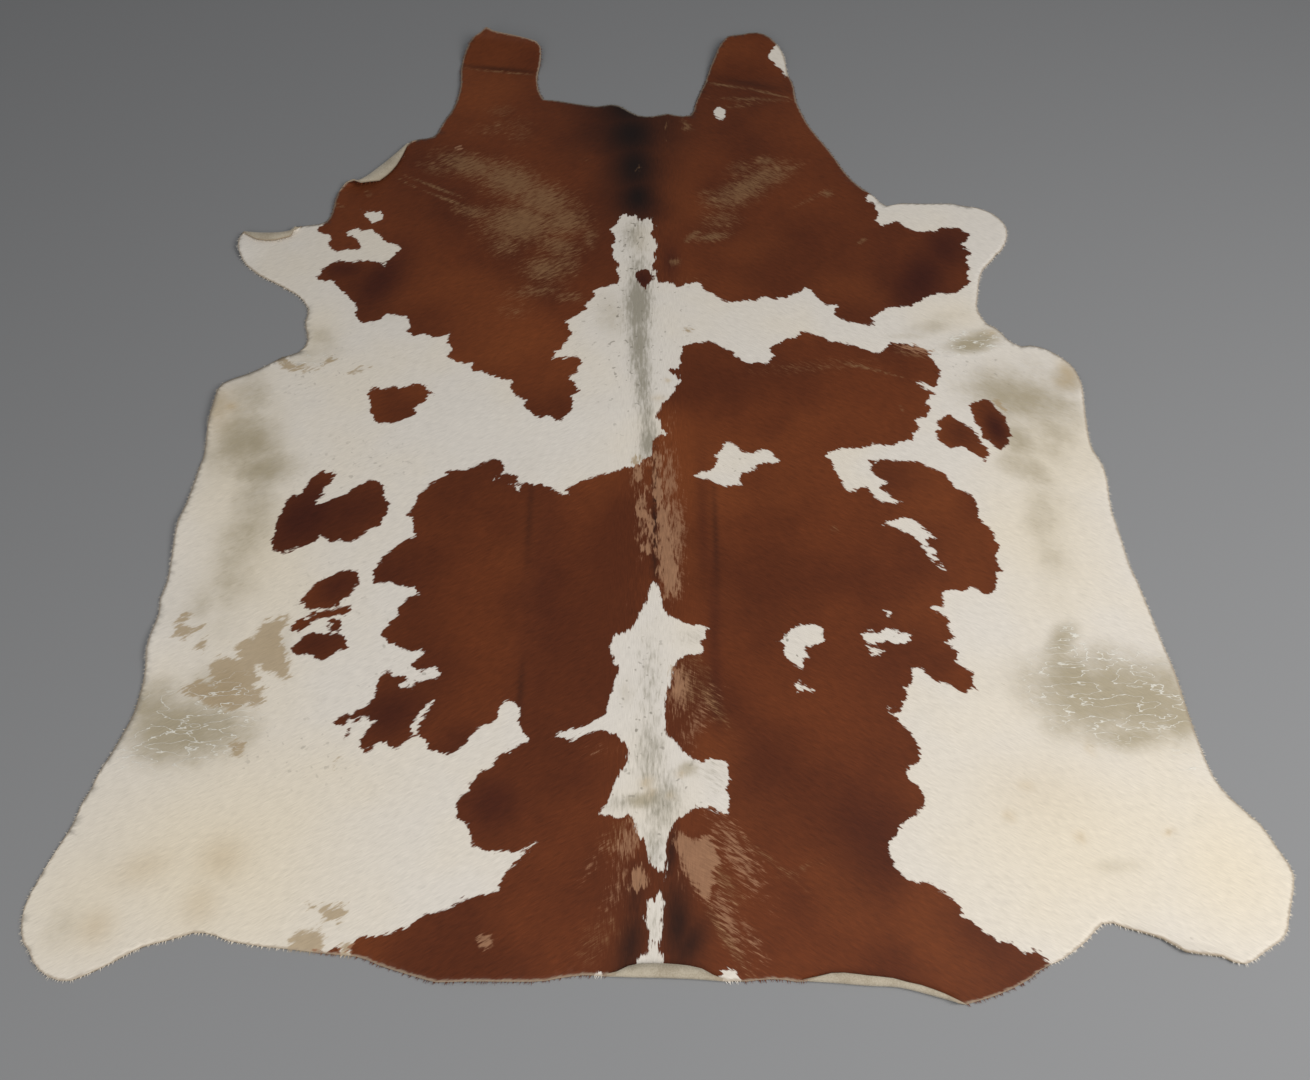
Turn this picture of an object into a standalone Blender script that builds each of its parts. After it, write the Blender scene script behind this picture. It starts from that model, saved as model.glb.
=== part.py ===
"""A whole hair-on cowhide laid out as a floor rug.

One sheet of leather with its short coat: an outline of neck tabs, forelegs, flanks, hind legs and
rump, laid flat, with rims that have curled or folded over and soft ridges left from storage.
Metres, +Z up, +Y towards the neck. The origin is under the middle of the sheet's box.
"""
import math

import bmesh
import bpy
import numpy as np
from mathutils import Vector
from mathutils.geometry import delaunay_2d_cdt

MM = 0.001
THICKNESS = 4 * MM          # leather with its coat lying flat
EDGE_STEP = 18 * MM         # spacing of the points along the outline
GRID_STEP = 58 * MM         # spacing of the points inside the sheet
RIM_CLEARANCE = 0.45        # inner points keep this share of their step from the outline
FOLD_ROWS = 5               # rows of points around a bend
FOLD_SPACING = 14 * MM      # spacing of the points along a bend
SMOOTH_STEPS = 16           # samples of the smooth curve between two landmarks

# The outline of the sheet as it was cut, in millimetres from a mark in the middle of the spine.
# x is to the right, y is towards the neck, and the landmarks run clockwise seen from above.
OUTLINE = {
    "neck_cut": (
        (-271, 880), (-250, 878), (-215, 870), (-175, 859), (-145, 852), (-105, 858), (-75, 840),
        (-52, 824), (-20, 820), (18, 830), (45, 821), (74, 827)),
    "right_neck_tab": (
        (79, 850), (92, 900), (107, 945), (117, 983), (129, 1021), (141, 1057), (152, 1078),
        (166, 1096), (195, 1101), (225, 1109), (252, 1103), (271, 1085), (288, 1057), (297, 1027),
        (300, 994), (303, 970), (312, 940), (315, 900), (317, 870)),
    "right_shoulder": (
        (325, 837), (336, 797), (353, 757), (375, 712), (392, 673), (405, 640), (422, 605),
        (443, 577), (464, 555), (482, 527), (497, 520)),
    "right_foreleg": (
        (520, 529), (560, 528), (600, 528), (640, 528), (655, 521), (685, 516), (700, 509),
        (720, 495), (736, 472), (742, 450), (738, 422), (723, 388), (701, 365), (695, 350),
        (680, 338), (667, 312), (659, 285), (652, 250), (646, 220)),
    "right_armpit": (
        (650, 198), (660, 174), (680, 160), (692, 136), (710, 118), (722, 113), (742, 116),
        (770, 105), (793, 86), (808, 67)),
    "right_flank": (
        (816, 45), (820, 5), (817, -35), (814, -85), (812, -140), (823, -185), (825, -230),
        (822, -285), (827, -350), (830, -400), (838, -445), (847, -510), (853, -565),
        (861, -620), (866, -680), (872, -740), (880, -797)),
    "right_hind_leg": (
        (892, -828), (918, -863), (938, -887), (949, -915), (964, -950), (967, -962),
        (961, -985), (951, -1008), (940, -1034), (931, -1055), (916, -1068), (897, -1078),
        (880, -1090), (860, -1099), (845, -1099), (825, -1090), (795, -1087), (770, -1084),
        (752, -1070), (738, -1062), (711, -1053), (680, -1041), (667, -1036)),
    "right_rump": (
        (650, -1047), (629, -1067), (605, -1083), (585, -1095), (561, -1104), (538, -1120),
        (510, -1134), (478, -1146), (452, -1153), (436, -1158), (424, -1162), (400, -1160),
        (370, -1154), (350, -1149), (300, -1150), (255, -1147), (228, -1139), (205, -1128)),
    "tail_root": (
        (180, -1122), (150, -1121), (125, -1124), (98, -1124), (84, -1129), (72, -1136),
        (58, -1142), (30, -1145), (-15, -1145), (-41, -1143), (-56, -1138), (-71, -1129),
        (-86, -1118)),
    "left_rump": (
        (-115, -1115), (-150, -1119), (-170, -1123), (-210, -1125), (-300, -1125), (-330, -1126),
        (-361, -1118), (-415, -1102), (-450, -1089), (-500, -1084), (-560, -1077), (-600, -1073),
        (-652, -1064), (-672, -1056), (-700, -1053), (-729, -1062), (-766, -1072), (-785, -1080),
        (-815, -1098), (-850, -1116), (-875, -1124)),
    "left_hind_leg": (
        (-905, -1116), (-928, -1098), (-936, -1084), (-953, -1066), (-962, -1040), (-964, -1012),
        (-958, -985), (-945, -943), (-935, -915), (-923, -880), (-919, -850), (-910, -828),
        (-905, -800)),
    "left_flank": (
        (-894, -770), (-887, -750), (-879, -722), (-872, -695), (-869, -650), (-870, -610),
        (-876, -568), (-871, -505), (-876, -472), (-871, -442), (-872, -400), (-876, -312),
        (-870, -285), (-867, -240), (-863, -180), (-860, -158), (-865, -85), (-863, -42),
        (-861, -4), (-854, 12)),
    "left_armpit": (
        (-833, 29), (-802, 48), (-775, 67), (-752, 85), (-729, 93), (-716, 104), (-710, 118),
        (-709, 135), (-713, 151), (-720, 172), (-721, 190), (-718, 210)),
    "left_foreleg": (
        (-724, 222), (-734, 239), (-749, 256), (-767, 268), (-800, 290), (-835, 311),
        (-864, 337), (-876, 350), (-889, 375), (-896, 400), (-895, 424), (-890, 441),
        (-880, 451), (-869, 459), (-856, 465), (-831, 467), (-810, 466), (-797, 462),
        (-786, 458), (-776, 457), (-752, 461), (-726, 466)),
    "left_shoulder": (
        (-716, 478), (-711, 497), (-709, 520), (-707, 545), (-705, 565), (-701, 582),
        (-694, 600), (-687, 619), (-682, 637), (-675, 650), (-654, 674), (-622, 699),
        (-593, 719), (-573, 730), (-550, 740), (-520, 746), (-508, 760),
        (-501, 785), (-493, 811), (-484, 833), (-477, 858)),
    "left_neck_tab": (
        (-471, 890), (-468, 930), (-471, 965), (-473, 1000), (-470, 1030), (-465, 1052),
        (-457, 1074), (-452, 1088), (-440, 1095), (-426, 1102), (-415, 1112), (-403, 1104),
        (-385, 1098), (-350, 1089), (-320, 1080), (-297, 1072), (-287, 1062), (-284, 1042),
        (-285, 1010), (-290, 978), (-290, 945), (-284, 910), (-277, 893)),
}

# Bends, worked in this order. Each turns up what lies left of its line, as it is walked.
# line: landmarks of the bend in mm; radius: of the flesh side, mm; turn: degrees;
# run_in, run_out: mm over which the turn grows and fades at the line's two ends.
BENDS = (
    {"name": "shoulder_flap", "line": ((-712, 560), (-694, 578), (-672, 593), (-650, 608),
                                       (-620, 645), (-600, 673), (-578, 706), (-560, 735)),
     "radius": 5, "turn": 176, "run_in": 78, "run_out": 18},
    {"name": "foreleg_flap", "line": ((-904, 430), (-880, 430), (-850, 430), (-812, 432),
                                      (-790, 438), (-768, 450)),
     "radius": 5, "turn": 176, "run_in": 22, "run_out": 24},
    {"name": "tail_root_flap", "line": ((104, -1121), (50, -1117), (0, -1115), (-50, -1114),
                                        (-98, -1112)),
     "radius": 5, "turn": 172, "run_in": 30, "run_out": 30},
    {"name": "rump_curl", "line": ((442, -1153), (425, -1149), (399, -1142), (370, -1134),
                                   (340, -1128), (297, -1126), (250, -1122), (190, -1119)),
     "radius": 5, "turn": 152, "run_in": 34, "run_out": 38},
    {"name": "neck_tab_rim", "line": ((-500, 1082), (-461, 1077), (-360, 1060), (-250, 1040)),
     "radius": 32, "turn": 42, "run_in": 8, "run_out": 8},
    {"name": "neck_tab_crease", "line": ((-510, 1015), (-472, 1008), (-380, 990), (-250, 974)),
     "radius": 14, "turn": 15, "run_in": 8, "run_out": 8},
    {"name": "right_tab_crease", "line": ((70, 938), (160, 944), (240, 962), (345, 968)),
     "radius": 40, "turn": 8, "run_in": 8, "run_out": 8},
    {"name": "hind_leg_rim", "line": ((860, -1080), (800, -1072), (745, -1050), (690, -1030)),
     "radius": 26, "turn": 28, "run_in": 40, "run_out": 45},
)

# Soft ridges left from folding, in mm: a line, half its width, and its height.
RIDGES = (
    {"name": "left_panel", "line": ((-252, -190), (-262, -640)), "half_width": 42, "height": 3.5},
    {"name": "left_panel_fine", "line": ((-214, -200), (-222, -420)), "half_width": 24, "height": 1.6},
    {"name": "right_panel", "line": ((78, -150), (84, -520)), "half_width": 40, "height": 3.5},
    {"name": "right_belly", "line": ((430, -690), (700, -655)), "half_width": 36, "height": 3.0},
    {"name": "left_belly", "line": ((-800, -535), (-720, -560)), "half_width": 26, "height": 2.5},
    {"name": "left_chest", "line": ((-760, -24), (-640, -44)), "half_width": 30, "height": 3.0},
    {"name": "across_back", "line": ((-420, -78), (-80, -70)), "half_width": 34, "height": 2.2},
    {"name": "right_chest", "line": ((420, 62), (560, 40)), "half_width": 26, "height": 2.2},
    {"name": "left_neck", "line": ((-560, 596), (-430, 535)), "half_width": 24, "height": 1.8},
)

# Places where the rim stands clear of the floor, in mm: centre, reach each way, and height.
LIFTS = (
    {"name": "left_flank_corner", "centre": (-872, -30), "reach": (85, 130), "height": 10},
    {"name": "left_flank_wave", "centre": (-884, -318), "reach": (70, 120), "height": 7},
    {"name": "left_flank_low", "centre": (-884, -566), "reach": (60, 90), "height": 6},
    {"name": "left_foreleg_tip", "centre": (-910, 400), "reach": (80, 70), "height": 8},
    {"name": "left_shoulder_side", "centre": (-716, 540), "reach": (40, 60), "height": 5},
    {"name": "left_neck_side", "centre": (-482, 940), "reach": (50, 90), "height": 5},
    {"name": "right_flank_top", "centre": (826, 0), "reach": (70, 90), "height": 6},
    {"name": "right_flank_wave", "centre": (832, -190), "reach": (60, 80), "height": 5},
    {"name": "right_flank_low", "centre": (872, -600), "reach": (60, 120), "height": 4},
    {"name": "rump_left", "centre": (-270, -1135), "reach": (110, 60), "height": 4},
    {"name": "neck_cut", "centre": (-120, 866), "reach": (90, 50), "height": 4},
)

COLOURS = {"coat": (0.165, 0.045, 0.018), "flesh_side": (0.42, 0.34, 0.24)}


def smooth_line(points, closed):
    """A smooth curve through the landmarks, as an array of x and y in metres."""
    marks = np.array(points, dtype=float) * MM
    count = len(marks)
    spans = count if closed else count - 1
    curve = []
    for i in range(spans):
        if closed:
            before, here, there, after = (marks[(i + k) % count] for k in (-1, 0, 1, 2))
        else:
            here, there = marks[i], marks[i + 1]
            before = marks[i - 1] if i > 0 else 2 * here - there
            after = marks[i + 2] if i + 2 < count else 2 * there - here
        for t in np.arange(SMOOTH_STEPS) / SMOOTH_STEPS:
            curve.append(0.5 * (2 * here + (there - before) * t
                                + (2 * before - 5 * here + 4 * there - after) * t ** 2
                                + (3 * here - before - 3 * there + after) * t ** 3))
    if not closed:
        curve.append(marks[-1])
    return np.array(curve)


def walk(curve, step, closed):
    """Points at an even step along a curve."""
    ring = np.vstack([curve, curve[:1]]) if closed else curve
    lengths = np.concatenate([[0.0], np.cumsum(np.linalg.norm(np.diff(ring, axis=0), axis=1))])
    count = max(2, round(lengths[-1] / step))
    stops = np.linspace(0, lengths[-1], count + 1)
    if closed:
        stops = stops[:-1]
    return np.column_stack([np.interp(stops, lengths, ring[:, k]) for k in (0, 1)])


def inside(points, ring):
    """True for each point that lies inside a closed ring."""
    result = np.zeros(len(points), dtype=bool)
    for (x0, y0), (x1, y1) in zip(ring, np.roll(ring, -1, axis=0)):
        crosses = (y0 > points[:, 1]) != (y1 > points[:, 1])
        if y0 != y1:
            at = x0 + (points[:, 1] - y0) * (x1 - x0) / (y1 - y0)
            result ^= crosses & (points[:, 0] < at)
    return result


def gap_to(points, others):
    """The distance from each point to the nearest of some others."""
    return np.sqrt(((points[:, None, :] - others[None, :, :]) ** 2).sum(axis=2)).min(axis=1)


def along_and_across(points, line):
    """How far along a line and how far to its left each point lies, and the foot and the left way."""
    a, b = line[:-1], line[1:]
    span = b - a
    size = np.linalg.norm(span, axis=1)
    starts = np.concatenate([[0.0], np.cumsum(size)[:-1]])
    rel = points[:, None, :] - a[None, :, :]
    t = np.clip((rel * span).sum(axis=2) / size ** 2, 0, 1)
    foot = a + t[:, :, None] * span
    best = np.linalg.norm(points[:, None, :] - foot, axis=2).argmin(axis=1)
    rows = np.arange(len(points))
    left = np.column_stack([-span[best, 1], span[best, 0]]) / size[best, None]
    off = points - foot[rows, best]
    across = np.linalg.norm(off, axis=1) * np.where((off * left).sum(axis=1) < 0, -1, 1)
    way = np.where(np.abs(across)[:, None] > MM, off / np.where(across == 0, 1, across)[:, None], left)
    return starts[best] + t[rows, best] * size[best], across, foot[rows, best], way


def ease(x):
    """A smooth step from 0 to 1."""
    x = np.clip(x, 0, 1)
    return x * x * (3 - 2 * x)


def bend_turn(bend, along, length):
    """The angle through which a bend turns the sheet, at each place along it."""
    growing = ease(along / (bend["run_in"] * MM))
    fading = ease((length - along) / (bend["run_out"] * MM))
    return math.radians(bend["turn"]) * growing * fading


def fold(points, bend):
    """Turn up the part of the sheet beyond a bend, without stretching it."""
    line = smooth_line(bend["line"], closed=False)
    length = np.linalg.norm(np.diff(line, axis=0), axis=1).sum()
    along, across, foot, way = along_and_across(points[:, :2], line)
    radius = bend["radius"] * MM
    turn = bend_turn(bend, along, length)
    active = (across > 0) & (turn > 0)
    angle = np.minimum(across / radius, turn)
    straight = across - radius * angle
    out = radius * np.sin(angle) + straight * np.cos(angle) - points[:, 2] * np.sin(angle)
    up = radius * (1 - np.cos(angle)) + straight * np.sin(angle) + points[:, 2] * np.cos(angle)
    moved = np.column_stack([foot + way * out[:, None], up])
    return np.where(active[:, None], moved, points)


def ridge_height(points, ridge):
    """The rise of a soft ridge at each point."""
    line = np.array(ridge["line"], dtype=float) * MM
    span = line[1] - line[0]
    t = ((points - line[0]) @ span) / (span @ span)
    foot = line[0] + np.clip(t, 0, 1)[:, None] * span
    share = np.linalg.norm(points - foot, axis=1) / (ridge["half_width"] * MM)
    return ridge["height"] * MM * np.where(share < 1, (1 - share ** 2) ** 2, 0)


def lift_height(points, lift):
    """The rise of a lifted stretch of rim at each point."""
    share = (((points - np.array(lift["centre"]) * MM) / (np.array(lift["reach"]) * MM)) ** 2).sum(axis=1)
    return lift["height"] * MM * np.where(share < 1, (1 - share) ** 2, 0)


def bend_points(bend):
    """Points in rows around a bend, so that it turns smoothly."""
    line = walk(smooth_line(bend["line"], closed=False), FOLD_SPACING, closed=False)
    ahead = np.gradient(line, axis=0)
    left = np.column_stack([-ahead[:, 1], ahead[:, 0]]) / np.linalg.norm(ahead, axis=1)[:, None]
    arc = bend["radius"] * MM * math.radians(bend["turn"])
    return np.vstack([line + left * arc * k / (FOLD_ROWS - 1) for k in range(FOLD_ROWS)])


def sheet_points(ring):
    """The points inside the sheet: rows around the bends, and an even staggered grid elsewhere."""
    bends = np.vstack([bend_points(bend) for bend in BENDS])
    bends = bends[inside(bends, ring) & (gap_to(bends, ring) > RIM_CLEARANCE * FOLD_SPACING / 2)]
    low, high = ring.min(axis=0), ring.max(axis=0)
    rows = np.arange(low[1], high[1], GRID_STEP * math.sqrt(3) / 2)
    grid = np.array([(x, y) for k, y in enumerate(rows)
                     for x in np.arange(low[0] + (k % 2) * GRID_STEP / 2, high[0], GRID_STEP)])
    grid = grid[inside(grid, ring)]
    grid = grid[(gap_to(grid, ring) > RIM_CLEARANCE * GRID_STEP)
                & (gap_to(grid, bends) > RIM_CLEARANCE * GRID_STEP)]
    return np.vstack([bends, grid])


def lay(points):
    """Fold and lift the flat sheet's points to where they lie."""
    for bend in BENDS:
        points = fold(points, bend)
    plan = points[:, :2]
    rise = sum(ridge_height(plan, ridge) for ridge in RIDGES)
    rise = rise + sum(lift_height(plan, lift) for lift in LIFTS)
    return points + np.column_stack([np.zeros_like(plan), rise])


def sheet_mesh(name):
    """The closed solid of the sheet, centred on its box."""
    ring = walk(smooth_line([p for part in OUTLINE.values() for p in part], closed=True),
                EDGE_STEP, closed=True)[::-1]
    plan = np.vstack([ring, sheet_points(ring)])
    count = len(plan)
    edges = [(i, (i + 1) % len(ring)) for i in range(len(ring))]
    flat, _, faces, source, _, _ = delaunay_2d_cdt([Vector(p) for p in plan], edges, [], 0, 1e-7, True)
    assert len(flat) == count and all(ids[0] == k for k, ids in enumerate(source))
    faces = np.array(faces)
    faces = faces[inside(plan[faces].mean(axis=1), ring)].tolist()
    under = lay(np.column_stack([plan, np.zeros(count)]))
    over = lay(np.column_stack([plan, np.full(count, THICKNESS)]))
    points = np.vstack([under, over])
    low, high = points.min(axis=0), points.max(axis=0)
    points -= [(low[0] + high[0]) / 2, (low[1] + high[1]) / 2, low[2]]

    work = bmesh.new()
    verts = [work.verts.new(p) for p in points]
    for a, b, c in faces:
        across = plan[b] - plan[a]
        side = plan[c] - plan[a]
        if across[0] * side[1] - across[1] * side[0] < 0:
            b, c = c, b
        work.faces.new((verts[a], verts[c], verts[b])).material_index = 1
        work.faces.new((verts[a + count], verts[b + count], verts[c + count]))
    for a, b in edges:
        work.faces.new((verts[a], verts[a + count], verts[b + count], verts[b])).material_index = 1
    bmesh.ops.recalc_face_normals(work, faces=work.faces)
    bmesh.ops.triangulate(work, faces=work.faces)
    mesh = bpy.data.meshes.new(name)
    work.to_mesh(mesh)
    work.free()
    return mesh


def leather_material(name, colour):
    """A matt hide finish of one colour."""
    material = bpy.data.materials.new(name)
    material.use_nodes = True
    shader = material.node_tree.nodes["Principled BSDF"]
    shader.inputs["Base Color"].default_value = (*colour, 1)
    shader.inputs["Roughness"].default_value = 0.7
    shader.inputs["Metallic"].default_value = 0
    return material


def build_hide():
    """The hide, its coat up and its flesh side down."""
    mesh = sheet_mesh("hide")
    for name, colour in COLOURS.items():
        mesh.materials.append(leather_material(name, colour))
    mesh.shade_smooth()
    mesh.set_sharp_from_angle(angle=math.radians(50))
    hide = bpy.data.objects.new("hide", mesh)
    bpy.context.scene.collection.objects.link(hide)
    return hide


def main():
    for old in list(bpy.data.objects):
        bpy.data.objects.remove(old, do_unlink=True)
    build_hide()


main()
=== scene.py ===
"""Looks of the animal hide: its coat pattern, stains, bare skin, cut rim and loose hairs.

Lengths in the tables are millimetres from a mark in the middle of the spine, the same mark that the
outline of the sheet is measured from: x is to the right, y is towards the neck.
"""
import math

import bmesh
import bpy
import numpy as np
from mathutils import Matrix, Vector
from mathutils.bvhtree import BVHTree
from mathutils.kdtree import KDTree


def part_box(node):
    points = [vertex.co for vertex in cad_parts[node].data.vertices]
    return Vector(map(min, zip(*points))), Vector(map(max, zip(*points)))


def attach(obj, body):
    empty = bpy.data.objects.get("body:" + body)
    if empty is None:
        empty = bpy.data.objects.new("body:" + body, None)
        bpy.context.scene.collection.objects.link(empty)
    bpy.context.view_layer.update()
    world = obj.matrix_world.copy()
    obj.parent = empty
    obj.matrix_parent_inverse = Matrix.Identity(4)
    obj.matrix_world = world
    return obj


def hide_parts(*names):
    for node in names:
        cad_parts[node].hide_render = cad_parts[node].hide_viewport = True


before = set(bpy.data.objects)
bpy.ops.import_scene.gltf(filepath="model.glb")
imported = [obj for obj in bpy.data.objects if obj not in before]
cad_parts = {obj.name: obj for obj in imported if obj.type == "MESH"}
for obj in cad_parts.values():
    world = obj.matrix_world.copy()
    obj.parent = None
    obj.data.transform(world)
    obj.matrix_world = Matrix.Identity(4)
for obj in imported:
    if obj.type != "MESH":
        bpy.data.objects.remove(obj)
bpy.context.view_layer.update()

MM = 0.001
SEED = 41
LEFT_LEG_TIP_X = -964.2      # the sheet's lowest x and y, from the mark
RUMP_TIP_Y = -1156.9

# The camera, in the row frame.
CAMERA_FROM_MARK = (-12, -1614, 1913)
CAMERA_PITCH = 56.5          # degrees below the horizon
LENS_MM = 35
SENSOR_MM = 36

WELD = 0.01                  # mm
EDGE_LIMITS = (0.6, 0.3, 0.15, 0.08, 0.04, 0.04, 0.022, 0.022, 0.0145, 0.0145)   # metres, a pass each
SKIN_SMOOTHING = 12
RIM_ANGLE = 60               # degrees; the coat side ends where faces meet more sharply
SHARP_ANGLE = 55
SHEET_THICKNESS = 0.004
COAT, FLESH, RIM = 0, 1, 2   # material slots of the hide
OPEN_UPWARDS = 0.8           # how much a place must face up to be smoothed

SPINE_X = -22                # mm; the hair parts along this line
PARTING_START = 0.02         # metres beside it where the lie turns outwards, and how far the turn takes
PARTING_WIDTH = 0.10
LIE_OUT = 0.85               # the lie beside the spine: outwards, and back towards the rump
LIE_BACK = 0.52
HAIR_GRAIN = (210.0, 42.0)   # cells a metre, across and along the lie
STRAND_GRAIN = (800.0, 60.0)
TUFT_GRAIN = (75.0, 30.0)
WRINKLE_GRAIN = (17.0, 52.0, 17.0)
HAIR_RAGGED = 19.0           # mm that each grain moves the pattern's borders
TUFT_RAGGED = 14.0
STRAND_RAGGED = 7.0
BORDER_BLUR = 1.3            # mm

HAIR_SPACING = 3.2           # mm between the loose hairs along the rim
HAIR_LENGTHS = (3.5, 8.0)
HAIR_WIDTH = 0.9
HAIR_ROOT = (1.5, 1.2)       # mm inside the rim and below its top
HAIR_DROOP = 2.0
HAIR_LOWEST = 1.0            # mm above the floor
HAIR_SWEEP = (0.3, 1.1)      # how much a hair follows the lie
HAIR_STRAY = 0.3
RIM_LINE = 5                 # mm of trimmed hair beside the cut rim
NEAR_PATCH = 0.09            # metres round a patch in which the distance to its edge is worked out
MARK_FALLOFF = 1.1

FLOOR_HALF_WIDTH = 8         # metres
LIGHT_COLUMNS = ("place", "aim", "size", "power")
LIGHTS = {
    "key": ((2.3, -1.3, 2.7), (0, -0.2, 0), 2.0, 80),
    "fill": ((-1.0, -3.0, 2.8), (0, -0.6, 0), 2.6, 62),
}
SKY_COLOUR = (0.75, 0.77, 0.8, 1)
SKY_STRENGTH = 0.25

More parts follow.
